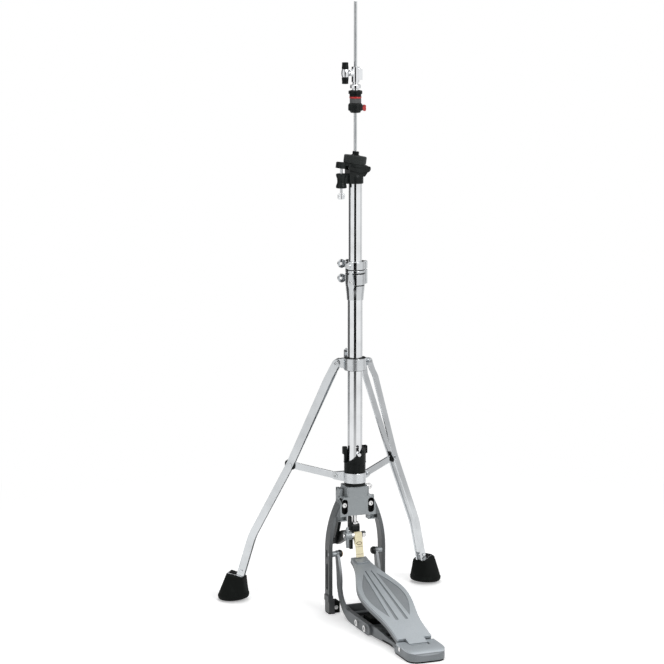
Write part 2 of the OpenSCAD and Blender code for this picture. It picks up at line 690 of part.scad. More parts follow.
module seat_felt() color("#3a3b3d") stand() seat_frame() translate([seat_axis_x, 0, tilt_plate_rise])
    rotate_extrude() polygon(concat([[sleeve_base_r + face_gap, 0], [felt_d / 2 - 1.5, 0]],
        bezier([felt_d / 2 - 1.5, 0], [felt_d / 2, 1], [felt_d / 2, 2], [felt_d / 2 - 0.3, felt_h - 3], 6),
        arc([felt_d / 2 - 3.3, felt_h - 3], 3, 0, 90, 6), [[sleeve_base_r + face_gap, felt_h]]));

module seat_sleeve() color(black) stand() seat_frame() translate([seat_axis_x, 0, tilt_plate_rise])
    rotate_extrude() polygon([[sleeve_bore_r + 1.2, -tilt_plate_t], [sleeve_base_r, -tilt_plate_t],
        [sleeve_base_r, felt_h], [sleeve_tip_r, felt_h + 1.5], [sleeve_tip_r, sleeve_len - 1],
        [sleeve_tip_r - 0.6, sleeve_len], [sleeve_bore_r, sleeve_len], [sleeve_bore_r, felt_h],
        [sleeve_bore_r + 1.2, felt_h - 4]]);

module tilt_screw() color(steel) stand() translate([-tilt_screw_x, 0, 0]) {
    translate([0, 0, cup_top - 48]) cylinder(h = tilt_hinge_z - cup_top + 51, d = tilt_screw_d);
    translate([0, 0, cup_top - 49]) cylinder(h = 9, d = tilt_screw_d + 2.4);
    difference() {
        along_y(-1.4, 1.4) polygon(concat(
            arc([-4.5, cup_top - 41], 2.2, 90, 180, 4), arc([-4.5, cup_top - 47], 2.2, 180, 270, 4),
            arc([4.5, cup_top - 47], 2.2, 270, 360, 4), arc([4.5, cup_top - 41], 2.2, 0, 90, 4)));
        for (s = [-1, 1])
            y_rod(-cut - 2, 2 + cut, s * 5.3, cup_top - 44, 1.4);
    }
}

// Clutch

module clutch_nut() color(black) stand() difference() {
    translate([0, 0, clutch_z]) rotate_extrude() polygon([[thread_r, 0], [8.6, 0], [10, 1.4], [10, 3],
        [clutch_nut_d / 2 - 1.5, 3.6], [clutch_nut_d / 2, 5], [clutch_nut_d / 2, 15],
        [clutch_nut_d / 2 - 1.2, nut_h - 1.6], [11, nut_h], [thread_r, nut_h]]);
    for (i = [0:11])
        rotate(i * 30 + 15) translate([clutch_nut_d / 2 + 0.6, 0, clutch_z + 4]) cylinder(h = 12, r = 1.5);
    translate([release_x + release_pin_x - 3.1, -2.8, release_z - 4.5]) cube([10, 5.6, 9]);
}

module clutch_felt() color("#8a8a88") stand()
    z_tube(clutch_felt_z, clutch_ring_z, 11, thread_r + face_gap);

module clutch_ring() color("#b3282d") stand()
    z_tube(clutch_ring_z, clutch_sleeve_z, 11.4, thread_r + face_gap);

module clutch_sleeve() color(black) stand() rotate_extrude() polygon([[rod_bore_r, clutch_z],
    [thread_r - pin_fit, clutch_z], [thread_r - pin_fit, clutch_sleeve_z], [11, clutch_sleeve_z],
    [11, clutch_sleeve_z + 4.4], [13, clutch_sleeve_z + 5.4], [13, clutch_body_z - 2],
    [12, clutch_body_z - 1], [8, clutch_body_z], [rod_bore_r, clutch_body_z]]);

module clutch_body() color(steel) stand() difference() {
    union() {
        translate([0, 0, clutch_body_z]) rotate_extrude() polygon([[0, 0], [6, 0], [6, 3], [10.2, 3.6],
            [10.2, 9], [9.4, 9.8], [5.6, 10.2], [5.6, 15.5], [0, 15.5]]);
        translate([0, 0, clamp_block_z]) cylinder(h = clamp_block_h, d = clutch_body_d);
        translate([0, -clutch_body_d / 2 + 1, clamp_block_z + 4])
            cube([clutch_body_d / 2 + 4, clutch_body_d - 2, clamp_block_h - 7]);
        x_rod(-clutch_body_d / 2 - 4, 0, 0, handle_z, 11);
    }
    translate([0, 0, clutch_body_z - cut]) cylinder(h = 60, r = rod_bore_r);
    translate([0, -0.8, clamp_block_z + 2]) cube([clutch_body_d, 1.6, clamp_block_h]);
    x_rod(-clutch_body_d, -rod_r - 1, 0, handle_z, 6 + 2 * pin_fit);
}

module clutch_bolt() color(steel) stand() {
    x_rod(handle_x, -rod_r - 1.2, 0, handle_z, 6);
    translate([handle_x, 0, handle_z - 8]) rotate_extrude() polygon(concat([[0, -6], [4, -6], [4, 0]],
        bezier([5.5, 0], [8, 1.5], [8, 14.5], [5.5, 16], 8), [[4, 16], [4, 22], [0, 22]]));
}

module clutch_tips() color(black) stand() translate([handle_x, 0, handle_z])
    for (s = [0, 180])
        rotate([s, 0, 0]) translate([0, 0, 8]) rotate_extrude() polygon(concat([[4, 0], [6.4, 0]],
            bezier([6.4, 0], [6.6, 4], [5.4, 9], [6, clutch_handle_len / 2 - 10.5], 6),
            arc([4.6, clutch_handle_len / 2 - 10.5], 1.5, 0, 90, 4),
            [[0, clutch_handle_len / 2 - 9], [0, 6 + face_gap], [4, 6 + face_gap]]));

module clutch_lever() color("#c0272d") stand() translate([release_x, 0, release_z]) {
    along_y(-2.5, 2.5) polygon(concat([[-2.6, -2.2], [3, -2.2]],
        arc([5.6, -3.4], 2.6, 200, 360, 8), arc([5.6, 3.4], 2.6, 0, 160, 8), [[3, 2.2], [-2.6, 2.2]]));
    y_rod(-2.5, 2.5, release_pin_x, 0, 5);
}

// Pull rod

module pull_rod() color(steel) stand() translate([0, 0, coupler_z + 8]) {
    cylinder(h = rod_top - coupler_z - 9, r = rod_r);
    translate([0, 0, rod_top - coupler_z - 9]) cylinder(h = 1, r1 = rod_r, r2 = rod_r - 0.8);
}

module lower_rod() color(steel) stand() difference() {
    union() {
        translate([0, 0, connector_z + 8]) cylinder(h = coupler_z - connector_z, r = rod_r);
        translate([0, 0, spring_collar_z]) cylinder(h = 6, r = spring_r + spring_wire / 2 + 0.5);
        translate([0, 0, coupler_z]) cylinder(h = coupler_h, r = rod_r + 3, $fn = 6);
    }
    translate([0, 0, coupler_z + 8]) cylinder(h = coupler_h, r = rod_r);
}

module rod_connector() color(steel) stand() translate([0, 0, connector_z]) rotate_extrude()
    polygon([[0, 0], [7, 0], [7, 3.4], [4.4, 4.4], [4.4, 21], [rod_r + 0.4, 23], [rod_r, 23],
        [rod_r, 8], [0, 8]]);

module rod_link() color(black) stand() difference() {
    union() {
        along_x(-link_half, link_half) polygon(concat(arc([0, link_pin_z], 7.5, 180, 360, 12),
            [[7.5, link_top - 4], [6, link_top], [-6, link_top], [-7.5, link_top - 4]]));
        along_x(-link_half - link_cheek, -link_half - 0.4) polygon(pill([0, link_top + link_cheek_h / 2 - 6],
            11, link_cheek_h + 12, 2));
        along_x(-link_half - 1, -link_half + 1) polygon(pill([0, link_top - 6], 9, 9, 2));
    }
    along_x(-link_half - cut, link_half + cut) polygon(pill([0, link_pin_z],
        2 * link_pin_r + 6.4, 2 * link_pin_r + 1, link_pin_r));
    for (x = [-3, 3], z = [12, 18])
        y_rod(-9, -6.4, x, link_pin_z + z, 3);
}

// Spring tension

// Tube of one radius along a path of points, closed at both ends
module swept_tube(path, r, sides) {
    last = len(path) - 1;
    rings = [for (i = [0:last]) let (
        t = unit(path[min(i + 1, last)] - path[max(i - 1, 0)]),
        a = unit([path[i].x, path[i].y, 0]),
        b = cross(t, a))
        for (k = [0:sides - 1]) path[i] + r * (cos(360 * k / sides) * a + sin(360 * k / sides) * b)];
    walls = [for (i = [0:last - 1], k = [0:sides - 1]) let (
        p = i * sides + k, q = i * sides + (k + 1) % sides)
        each [[p, p + sides, q], [q, p + sides, q + sides]]];
    caps = [for (k = [1:sides - 2]) each [[0, k, k + 1],
        [last * sides, last * sides + k + 1, last * sides + k]]];
    polyhedron(rings, concat(walls, caps));
}

echo(spring_self_gap = spring_self_gap);

module return_spring() color(steel) stand() swept_tube(spring_path, spring_wire / 2, 6);

module tension_stud() color(steel) stand() {
    z_tube(stud_z - seat_half_h, stud_z + seat_half_h, lower_in_r - 2 * face_gap, rod_r + 1.4);
    for (s = [0, 180])
        rotate(s) {
            y_rod(rod_r + 3, dial_r + 1, 0, stud_z, stud_d);
            y_rod(dial_r + 1.4, dial_r + 3.4, 0, stud_z, stud_d + 1.6);
            y_rod(dial_r + 0.8, dial_r + 1.6, 0, stud_z, stud_d);
        }
}

// Helical ramp: a ring sector whose top climbs evenly with the angle
module ramp(n = 24) {
    foot = ramp_z - ramp_sink;
    out_r = ramp_out_r - ramp_sink;
    sector = [for (i = [0:n]) let (a = ramp_start + ramp_angle * i / n, h = ramp_z + ramp_rise * i / n)
        for (p = [[ramp_in_r, foot], [out_r, foot], [out_r, h], [ramp_in_r, h]])
            [p.x * cos(a), p.x * sin(a), p.y]];
    walls = [for (i = [0:n - 1], k = [0:3]) let (p = 4 * i + k, q = 4 * i + (k + 1) % 4)
        each [[p, q, p + 4], [q, q + 4, p + 4]]];
    polyhedron(sector, concat(walls, [[0, 3, 2], [0, 2, 1], [4 * n, 4 * n + 1, 4 * n + 2],
        [4 * n, 4 * n + 2, 4 * n + 3]]));
}

module tension_dial() color(black) stand() {
    difference() {
        translate([0, 0, dial_z]) rotate_extrude() polygon([[dial_bore_r, 0], [dial_r - 1, 0], [dial_r, 1],
            [dial_r, dial_base_h - 1.5], [ramp_out_r, dial_base_h - 1], [ramp_out_r, dial_base_h],
            [dial_bore_r, dial_base_h]]);
        for (i = [0:11])
            rotate(i * 30) translate([dial_r + 1.2, 0, dial_z + 3]) cylinder(h = dial_base_h - 6, r = 2.2);
    }
    for (s = [0, 180])
        rotate(s) {
            ramp();
            rotate(ramp_start + ramp_angle - 3) rotate_extrude(angle = 20)
                polygon([[ramp_in_r + 0.3, ramp_z - ramp_sink], [ramp_out_r - 0.2, ramp_z - ramp_sink],
                    [ramp_out_r - 0.2, ear_top - ear_h - 2], [ramp_out_r + 3, ear_top - ear_h],
                    [ramp_out_r + 3, ear_top - 1], [ramp_out_r + 2, ear_top], [ramp_in_r + 0.3, ear_top]]);
        }
}

// Tripod

// Frame of a leg: +X away from the post, Y across the leg
module leg_frame(angle) rotate(angle) children();

module across(y0, y1, p, d) translate([p.x, y0, p.y]) rotate([-90, 0, 0]) cylinder(h = y1 - y0, d = d);

module swivel_bush() color(black) stand() rotate_extrude() polygon([[lower_r + pin_fit, frame_top],
    [collar_r - 1, frame_top], [collar_r - 1, frame_top + bush_flange - 1],
    [collar_r - 2, frame_top + bush_flange], [collar_in_r - face_gap, frame_top + bush_flange],
    [collar_in_r - face_gap, lower_collar_z + lower_collar_h],
    [lower_r + pin_fit, lower_collar_z + lower_collar_h]]);

module collar_ring(z0, z1, in_r) rotate_extrude() polygon([[in_r, z0], [collar_r - 1.2, z0],
    [collar_r, z0 + 1.2], [collar_r, z1 - 1.2], [collar_r - 1.2, z1], [in_r, z1]]);

// Ear in the leg's plane, from the collar out to a pivot
module collar_ear(y0, y1, pivot) along_y(y0, y1) polygon(concat([[collar_r - 3, pivot.y - 10]],
    arc(pivot, ear_r, -80, 80, 10), [[collar_r - 3, pivot.y + 10]]));

// Rivet across a leg, with a head on each end
module rivet(half, p) {
    across(-half, half, p, rivet_d);
    for (s = [0, 1])
        mirror([0, s, 0]) across(half - head_h, half, p, rivet_d + 4);
}

module lower_collar() color(steel) stand() {
    collar_ring(lower_collar_z, lower_collar_z + lower_collar_h, collar_in_r);
    for (a = [left_angle, right_angle])
        leg_frame(a) {
            for (s = [0, 1])
                mirror([0, s, 0]) collar_ear(brace_ear, brace_ear + strap_t, brace_path[0]);
            rivet(brace_ear + strap_t + head_h, brace_path[0]);
        }
}

module upper_collar() color(steel) stand() difference() {
    union() {
        collar_ring(upper_collar_z, upper_collar_z + upper_collar_h, lower_r + ring_gap);
        y_rod(lower_r + 2, collar_boss_y, 0, leg_pivot_z, wing_bolt_d + 8);
        for (a = [left_angle, right_angle])
            leg_frame(a) {
                collar_ear(-lug_half_t, lug_half_t, leg_path[0]);
                rivet(ear_gap / 2 + strap_t + face_gap + head_h, leg_path[0]);
            }
    }
    y_rod(0, collar_boss_y + cut, 0, leg_pivot_z, wing_bolt_d + 2 * pin_fit);
}

// Bolt that holds the upper collar on the post, behind it and clear of both legs as it turns
module collar_bolt() color(steel) stand() {
    y_rod(lower_r + face_gap, collar_wing_y + wing_t, 0, leg_pivot_z, wing_bolt_d);
    y_rod(collar_boss_y + face_gap, collar_wing_y + wing_t, 0, leg_pivot_z, wing_bolt_d + 5);
    along_y(collar_wing_y, collar_wing_y + wing_t) polygon(pill([0, leg_pivot_z], 10, 2 * collar_wing_r, 5));
}

// One strap of a leg: its side view and its front view, both as outlines, and what they share
module leg_strap(grow = 0) intersection() {
    along_y(-40, 40) polygon(band(eased(leg_path, 14), strap_w + 2 * grow));
    knee = leg_path[2].y + 10;
    top = leg_pivot_z;
    rotate([90, 0, 90]) linear_extrude(2 * foot_r) polygon([
        [strap_gap / 2 - grow, 0], [strap_gap / 2 + strap_t + grow, 0],
        [strap_gap / 2 + strap_t + grow, knee], [ear_gap / 2 + strap_t + 3 + grow, top - 30],
        [ear_gap / 2 + strap_t + grow, top - 17], [ear_gap / 2 + strap_t + grow, top + 20],
        [ear_gap / 2 - grow, top + 20], [ear_gap / 2 - grow, top - 17],
        [ear_gap / 2 + 3 - grow, top - 30], [strap_gap / 2 - grow, knee]]);
}

module leg(angle) color(steel) stand() leg_frame(angle) {
    for (s = [0, 1])
        mirror([0, s, 0]) {
            difference() {
                leg_strap();
                across(0, 40, leg_path[0], rivet_d + 2 * pin_fit);
            }
            across(strap_out - head_h / 4, strap_out + head_h, leg_path[2], rivet_d + 4);
        }
    across(-strap_out - head_h, strap_out + head_h, foot_bolt, rivet_d);
    foot_top() translate([-foot_top_w / 2 + 5, -strap_out - 4, 0])
        cube([foot_top_w - 8, 2 * strap_out + 8, 1.6]);
}

module left_leg() leg(left_angle);
module right_leg() leg(right_angle);

// Frame of the foot's upper face, square to the lower end of the leg
module foot_top() translate([foot_top_x, 0, foot_h]) rotate([0, -foot_lean, 0]) children();

module foot(angle) color(black) stand() leg_frame(angle) difference() {
    hull() {
        translate([foot_base_r, 0, foot_sole_d / 2 * sin(foot_splay)]) rotate([0, foot_splay, 0]) {
            cylinder(h = 4, d = foot_sole_d, $fn = 32);
            translate([0, 0, 2.6]) cylinder(h = 3, d = foot_d - 4, $fn = 32);
            translate([0, 0, 5.4]) cylinder(h = foot_rim_h - 5.4, d = foot_d, $fn = 32);
        }
        foot_top()
            for (x = [-1, 1], y = [-1, 1])
                translate([x * (foot_top_w / 2 - 7), y * (foot_top_w / 2 - 7), -3])
                    cylinder(h = 3, r = 7, $fn = 32);
    }
    for (s = [0, 1])
        mirror([0, s, 0]) leg_strap(pin_fit);
}

module left_foot() foot(left_angle);
module right_foot() foot(right_angle);

module brace(angle) color(steel) stand() leg_frame(angle) difference() {
    along_y(-strap_t / 2, strap_t / 2) polygon(band(brace_path, strap_w - 1));
    across(-20, 20, brace_path[0], rivet_d + 2 * pin_fit);
}

module left_brace() brace(left_angle);
module right_brace() brace(right_angle);

module spacer(angle) color(black) stand() leg_frame(angle)
    for (s = [0, 1])
        mirror([0, s, 0]) along_y(strap_t / 2, strap_gap / 2 - face_gap)
            polygon(pill(leg_path[2], 20, 18, 5));

module left_spacer() spacer(left_angle);
module right_spacer() spacer(right_angle);

// Pedal frame

// Outer or inner line of one arm, from the floor end to a height, inset from the outer face
function arm_line(inset, z0, z1, n = 10) = let (
    r = arm_curve_r - inset, a1 = asin((z1 - arm_curve_z) / r))
    concat([[frame_half_w - inset, z0]], arc([arm_centre, arm_curve_z], r, 0, a1, n));

module front_slot(depth) along_y(plate_front - cut, plate_front + depth)
    polygon(pill([crown_half - 3, plate_bottom + front_plate_h / 2], 12.5, front_plate_h - 7, 6.2));

module frame_side() {
    along_y(arm_front, arm_back) polygon(concat(arm_line(0, 2, plate_top),
        [[0, plate_top], [0, plate_bottom + 8]], reversed(arm_line(arm_t, 2, plate_bottom + 8))));
    along_y(plate_front, arm_front + 2) polygon([[0, plate_top], [crown_half, plate_top],
        [crown_half + 15, plate_bottom], [0, plate_bottom]]);
    translate([arm_in - 4, arm_front - 1, 2]) cube([arm_t + 4.5, arm_depth, foot_pad_h]);
    translate([arm_in - 1, arm_front - 1, foot_pad_h]) cube([arm_t + 3, arm_depth, foot_block_h]);
    difference() {
        translate([22, plate_front, plate_bottom - 10]) cube([20, 16, 11]);
        translate([24, plate_front - cut, plate_bottom - 8]) cube([16, 10, 7]);
    }
}

module pedal_frame() color(cast_grey) stand() difference() {
    union() {
        both_sides() frame_side();
        translate([0, 0, crown_bottom]) cylinder(h = frame_top - crown_bottom, r = socket_r);
        translate([0, 0, plate_top - 2]) linear_extrude(frame_top - plate_top + 1.4)
            polygon(pill([0, (crown_back + plate_front) / 2 + 0.1], 2 * socket_half,
                crown_back - plate_front - 0.2, 4));
        translate([-crown_half, 2, plate_top - 20])
            cube([2 * crown_half, crown_back - 2, cheek_top - plate_top + 20]);
        translate([-crown_half, arm_front, crown_bottom])
            cube([2 * crown_half, crown_back - arm_front, plate_top - crown_bottom]);
        both_sides() translate([socket_half - 1, plate_front + slot_depth - 1, plate_bottom + 1])
            cube([crown_half - socket_half + 8, 5, plate_top - plate_bottom - 2]);
    }
    both_sides() translate([socket_half, -40, plate_top]) cube([socket_slot, 80, 40]);
    translate([0, 0, lower_tube_z]) cylinder(h = 100, r = lower_r);
    translate([0, 0, crown_bottom - cut]) cylinder(h = 60, r = lower_r - 3);
    translate([-1.2, 4, frame_top - 21]) cube([2.4, 40, 40]);
    x_rod(-crown_half - cut, crown_half + cut, lower_r + 4.2, frame_top - 10, 6 + 2 * pin_fit);
    both_sides() {
        front_slot(slot_depth);
        along_x(arm_in - cut, frame_half_w + 10) polygon(pill([fold_y, fold_z], fold_bolt_d + 2 * pin_fit,
            fold_bolt_d + 2 * pin_fit, fold_bolt_d / 2));
        along_x(frame_half_w - 3, frame_half_w + 10) {
            polygon(pill([arm_front + arm_depth / 2, 72], 8, 52, 3.9));
            polygon(pill([fold_y + 8.5, fold_z], 6, 15, 2.9));
        }
    }
}

// Clamp bolt across the socket, and the screws in the slots and in the frame's feet
module frame_bolts() color(steel) stand() {
    translate([crown_half, lower_r + 4.2, frame_top - 10]) rotate([0, 90, 0]) {
        translate([0, 0, -crown_half * 1.8]) cylinder(h = crown_half * 1.8 + 4, d = 6);
        cylinder(h = 3, d = 11);
        difference() {
            translate([0, 1.6, 7.5]) rotate([90, 0, 0]) cylinder(h = 3.2, r = 5.6);
            translate([0, 5, 8.5]) rotate([90, 0, 0]) cylinder(h = 10, r = 2);
        }
    }
    for (s = [-1, 1]) {
        translate([s * (crown_half - 3), plate_front + slot_depth - 6, slot_screw_z])
            rotate([90, 0, 0]) socket_screw(5, 9, 4, 6);
        translate([s * foot_pad_x, foot_pad_front, foot_pad_h / 2 - 0.5])
            rotate([90, 0, 0]) socket_screw(4, 8, 1.6, 8);
    }
}

module frame_feet() color(black) stand() both_sides() {
    difference() {
        union() {
            along_y(foot_pad_front, arm_back - 2) polygon(concat([[arm_in - 4, 0], [arm_in - 4, foot_pad_h]],
                arc([foot_pad_x - 4, foot_pad_h - 4], 4, 90, 180, 5), [[foot_pad_x - 8, 0]]));
            translate([arm_in - 5, arm_front, 0]) cube([arm_t + 5, arm_depth - 2, 2]);
        }
        translate([foot_pad_x, foot_pad_front + 9, foot_pad_h / 2 - 0.5])
            rotate([90, 0, 0]) cylinder(h = 20, d = 4);
    }
}

module fold_bolts() color(steel) stand() both_sides() {
    x_rod(side_plate_x - 7, frame_half_w, fold_y, fold_z, fold_bolt_d);
    x_rod(side_plate_out + face_gap, arm_in, fold_y, fold_z, fold_bolt_d + 5);
}

module fold_nuts() color(black) stand() both_sides() difference() {
    translate([side_plate_x - face_gap, fold_y, fold_z]) rotate([0, -90, 0]) rotate_extrude()
        polygon(concat([[0, 0], [7.4, 0], [7.4, 3]], arc([2.6, 3], 4.6, 0, 90, 8), [[0, 7.6]]));
    x_rod(side_plate_x - 7, side_plate_x + 1, fold_y, fold_z, fold_bolt_d);
}

// Drive lever

module lever_bracket() color(black) stand() difference() {
    union() {
        along_x(bracket_x - bracket_t, bracket_x) polygon(concat(
            arc([fulcrum_y, fulcrum_z], fulcrum_d / 2 + 5.5, -120, 60, 10),
            bezier([fulcrum_y + 4, fulcrum_z + 12], [crown_back + 4, crown_bottom - 26],
                [crown_back, crown_bottom - 14], [crown_back, crown_bottom], 6),
            [[2, crown_bottom], [4, crown_bottom - 14]],
            bezier([4, crown_bottom - 14], [8, crown_bottom - 34], [fulcrum_y - 16, fulcrum_z + 4],
                [fulcrum_y - 5, fulcrum_z - 8], 6)));
        translate([bracket_x - bracket_t, 2, crown_bottom - 5]) cube([20, crown_back - 2, 5]);
    }
    x_rod(bracket_x - 40, bracket_x + 40, fulcrum_y, fulcrum_z, fulcrum_d);
    translate([0, 0, crown_bottom - 20]) cylinder(h = 40, r = lower_r);
}

module fulcrum_axle() color(steel) stand() {
    x_rod(bracket_x - bracket_t - 2, lever_x + 4, fulcrum_y, fulcrum_z, fulcrum_d);
    x_rod(bracket_x - bracket_t - 4, bracket_x - bracket_t, fulcrum_y, fulcrum_z, fulcrum_d + 4);
    x_rod(lever_x + face_gap, lever_x + 3, fulcrum_y, fulcrum_z, fulcrum_d + 4);
}

module lever_arm() color(black) stand() {
    difference() {
        along_x(lever_in_x, lever_x) polygon(concat(
            arc([fulcrum_y, fulcrum_z], fulcrum_d / 2 + 5, -70, 110, 10),
            bezier([fulcrum_y - 14, fulcrum_z + 14], [16, link_pin_z + 8], [4, link_pin_z + 14],
                [strap_axle_y + strap_hub_r - 2, strap_axle_z + 7], 8),
            [[strap_axle_y + strap_hub_r - 2, strap_axle_z - 8]],
            bezier([strap_axle_y + strap_hub_r - 2, strap_axle_z - 8], [4, link_pin_z - 10],
                [16, link_pin_z - 16], [fulcrum_y - 8, fulcrum_z - 9], 8)));
        x_rod(-60, 10, fulcrum_y, fulcrum_z, fulcrum_d + 2 * pin_fit);
        x_rod(-60, 10, strap_axle_y, strap_axle_z, 2 * strap_hub_r);
    }
    x_rod(lever_x - 1, link_half + 2, 0, link_pin_z, 2 * link_pin_r);
    x_rod(lever_x - 1, strap_hub_x[1] + 2, 0, link_pin_z, 2 * link_pin_r + 4);
    x_rod(strap_hub_x[1] + face_gap, -link_half - face_gap, 0, link_pin_z, 2 * link_pin_r + 8);
    along_x(strap_hub_x[1] + face_gap, -web_w / 2 - 2 * face_gap) polygon([[-12, link_pin_z - 5],
        [3, link_pin_z - 1], [3, link_pin_z - 19], [-1, link_pin_z - 23], [-12, link_pin_z - 23]]);
}

module strap_clamp() color(cast_grey) stand() difference() {
    union() {
        x_rod(strap_hub_x[0], strap_hub_x[1], strap_axle_y, strap_axle_z, 2 * strap_hub_r);
        along_x(strap_hub_x[0] + 2, strap_hub_x[0] + 6) polygon([
            [strap_axle_y - strap_hub_r + 1, strap_axle_z],
            [strap_axle_y - 6, strap_axle_z + 9], [strap_axle_y - 4.5, strap_axle_z + 17],
            [strap_axle_y - 2.5, strap_axle_z + 17], [strap_axle_y + 4, strap_axle_z + 6],
            [strap_axle_y + 1, strap_axle_z - 8], [strap_axle_y - 2, strap_axle_z - 23],
            [strap_axle_y - 6, strap_axle_z - 23]]);
    }
    x_rod(-60, 60, strap_axle_y, strap_axle_z, strap_axle_d);
}

module strap_axle() color(steel) stand() {
    x_rod(strap_hub_x[0] - 2, axle_nut_x + 7, strap_axle_y, strap_axle_z, strap_axle_d);
    x_rod(strap_hub_x[1], -web_w / 2 - face_gap, strap_axle_y, strap_axle_z, strap_axle_d + 4);
    translate([axle_nut_x, strap_axle_y, strap_axle_z]) rotate([0, 90, 0])
        cylinder(h = 7, d = strap_axle_d + 6, $fn = 6);
}

// Webbing: a run up from the toe and over the axle, with its end sewn back to the run
module strap() color("#e6dcae") stand() along_x(-web_w / 2, web_w / 2) {
    polygon(band(concat([strap_toe], strap_loop), web_t));
    polygon(band([strap_loop[len(strap_loop) - 1], strap_seam], web_t));
}

// Pedal base

module side_plates() color(cast_grey) stand() both_sides() difference() {
    along_x(side_plate_x, side_plate_out) polygon(concat(
        arc([fold_y, fold_z], 6.6, 20, 160, 8),
        bezier([fold_y - 6, fold_z], [-26, 95], [-34, 80], [-31.5, 60], 8),
        bezier([-31.5, 60], [-30, 45], [-42, 1 + rail_h + 8], [-62, 1 + rail_h], 8),
        arc([rail_end_y, rail_mid_z], rail_h / 2, 90, 270, 10),
        [[-88, 1]],
        bezier([-88, 1], [-50, 1], [-22, 25], [-14, 55], 8),
        bezier([-14, 55], [-12, 75], [-11, 95], [fold_y + 6, fold_z], 6)));
    x_rod(side_plate_x - 1, side_plate_out + 1, fold_y, fold_z, fold_bolt_d + 2 * pin_fit);
    for (y = rail_screw_y)
        x_rod(side_plate_x - 1, side_plate_out + 1, y, rail_mid_z, 6);
}

module rail_screws() color(steel) stand() both_sides()
    for (y = rail_screw_y)
        translate([side_plate_out, y, rail_mid_z]) rotate([0, 90, 0])
            socket_screw(6, 13, 3.4, side_plate_t + 3);

// Plan of the base, inset from its outer line
function base_plan(inset) = let (
    w = base_half - inset,
    heel_w = base_heel_half - inset,
    half = [[w, base_front_y - inset], [w, -190], [heel_w, -245], [heel_w, heel_back_y]])
    concat(half, mirrored(half));

module base_frame() color(cast_grey) stand() difference() {
    union() {
        intersection() {
            difference() {
                translate([0, 0, pad_t]) linear_extrude(40) polygon(base_plan(0));
                translate([0, 0, pad_t + 3]) linear_extrude(40) polygon(base_plan(base_wall));
            }
            along_x(-60, 60) polygon([[base_front_y + 1, 0], [base_front_y + 1, rail_h + 5],
                [-70, rail_h + 1], [-200, rail_h + 1], [-245, rail_h - 7], [heel_back_y - 1, rail_h - 8],
                [heel_back_y - 1, 0]]);
        }
        for (y = [-92, -235])
            translate([-base_heel_half, y, pad_t]) cube([2 * base_heel_half, 4, 11]);
        for (i = [0:slat_count - 1])
            translate([-base_heel_half, slat_y - i * slat_pitch, pad_t])
                cube([2 * base_heel_half, 4, slat_h]);
        x_rod(-base_half + 1, base_half - 1, -70, pad_t + 12, 7);
    }
    for (x = [-16, 16])
        translate([x, -222, pad_t - cut]) linear_extrude(12) polygon(pill([0, 0], 20, 16, 5));
    both_sides()
        for (y = rail_screw_y)
            x_rod(base_half - base_wall - 1, base_half + 1, y, rail_mid_z, 6);
}

module base_rubbers() color(black) stand() {
    translate([-base_half + 2, base_front_y - 40, 0]) cube([2 * base_half - 4, 36, pad_t]);
    linear_extrude(pad_t) polygon(heel_plan(1));
    translate([-block_half, block_y, pad_t + 3]) cube([2 * block_half, 34, block_h]);
}

function heel_plan(inset) = let (
    w = heel_half_w - inset,
    f = heel_front_y + inset,
    half = concat([[w, heel_back_y - inset]], bezier([w, f + 24], [w, f + 8], [w - 8, f], [w - 22, f], 8)))
    concat(half, mirrored(half));

module heel_plate() color(cast_grey) stand() difference() {
    intersection() {
        translate([0, 0, pad_t]) linear_extrude(40) polygon(heel_plan(0));
        along_x(-60, 60) polygon(concat(
            [[heel_back_y + 1, 0], [heel_back_y + 1, heel_h - 4], [heel_back_y - 6, heel_h]],
            bezier([heel_y - 12, heel_h], [heel_y - 30, heel_h],
                [heel_front_y, heel_h - 2], [heel_front_y, heel_h - 8], 8),
            [[heel_front_y - 1, 0]]));
    }
    translate([-tongue_half_w - 1, heel_notch_y, pad_t + 3]) cube([2 * tongue_half_w + 2, 60, 40]);
    translate([-heel_half_w - cut, heel_back_y - 8, heel_h - 9]) cube([2 * heel_half_w + 2 * cut, 10, 20]);
    x_rod(-heel_half_w - 1, heel_half_w + 1, heel_y, heel_z, heel_pin_d);
}

module heel_pin() color(steel) stand() {
    x_rod(-heel_half_w, heel_half_w, heel_y, heel_z, heel_pin_d);
    both_sides() x_rod(heel_half_w, heel_half_w + 1.6, heel_y, heel_z, heel_pin_d + 3);
}

// Footboard

// Frame of the footboard: +Y from the heel hinge up to the toe, its top face at a height over the hinge
module board_frame() translate([0, heel_y, heel_h]) rotate([board_angle, 0, 0]) children();

function ease(t) = (1 - cos(180 * min(max(t, 0), 1))) / 2;
function between(a, b, t) = a + (b - a) * ease(t);
function board_half(s) = s < board_widest
    ? between(board_heel_half_w, board_half_w, (s - board_neck) / (board_widest - board_neck))
    : between(board_half_w, board_toe_half_w, (s - board_widest) / (board_len + 6 - board_widest));

function board_plan(inset, n = 26) = let (
    s0 = board_heel_edge + inset, s1 = board_len + 8 - inset,
    half = [for (i = [0:n]) let (s = s0 + (s1 - s0) * i / n) [board_half(s) - inset, s]])
    concat(half, mirrored(half));

// Leaf-shaped hollow beside the middle of the board
function leaf(n = 18) = [for (i = [0:n]) let (t = i / n)
    [20 - 7 * t + leaf_depth * sin(180 * t), leaf_start + (leaf_end - leaf_start) * t]];

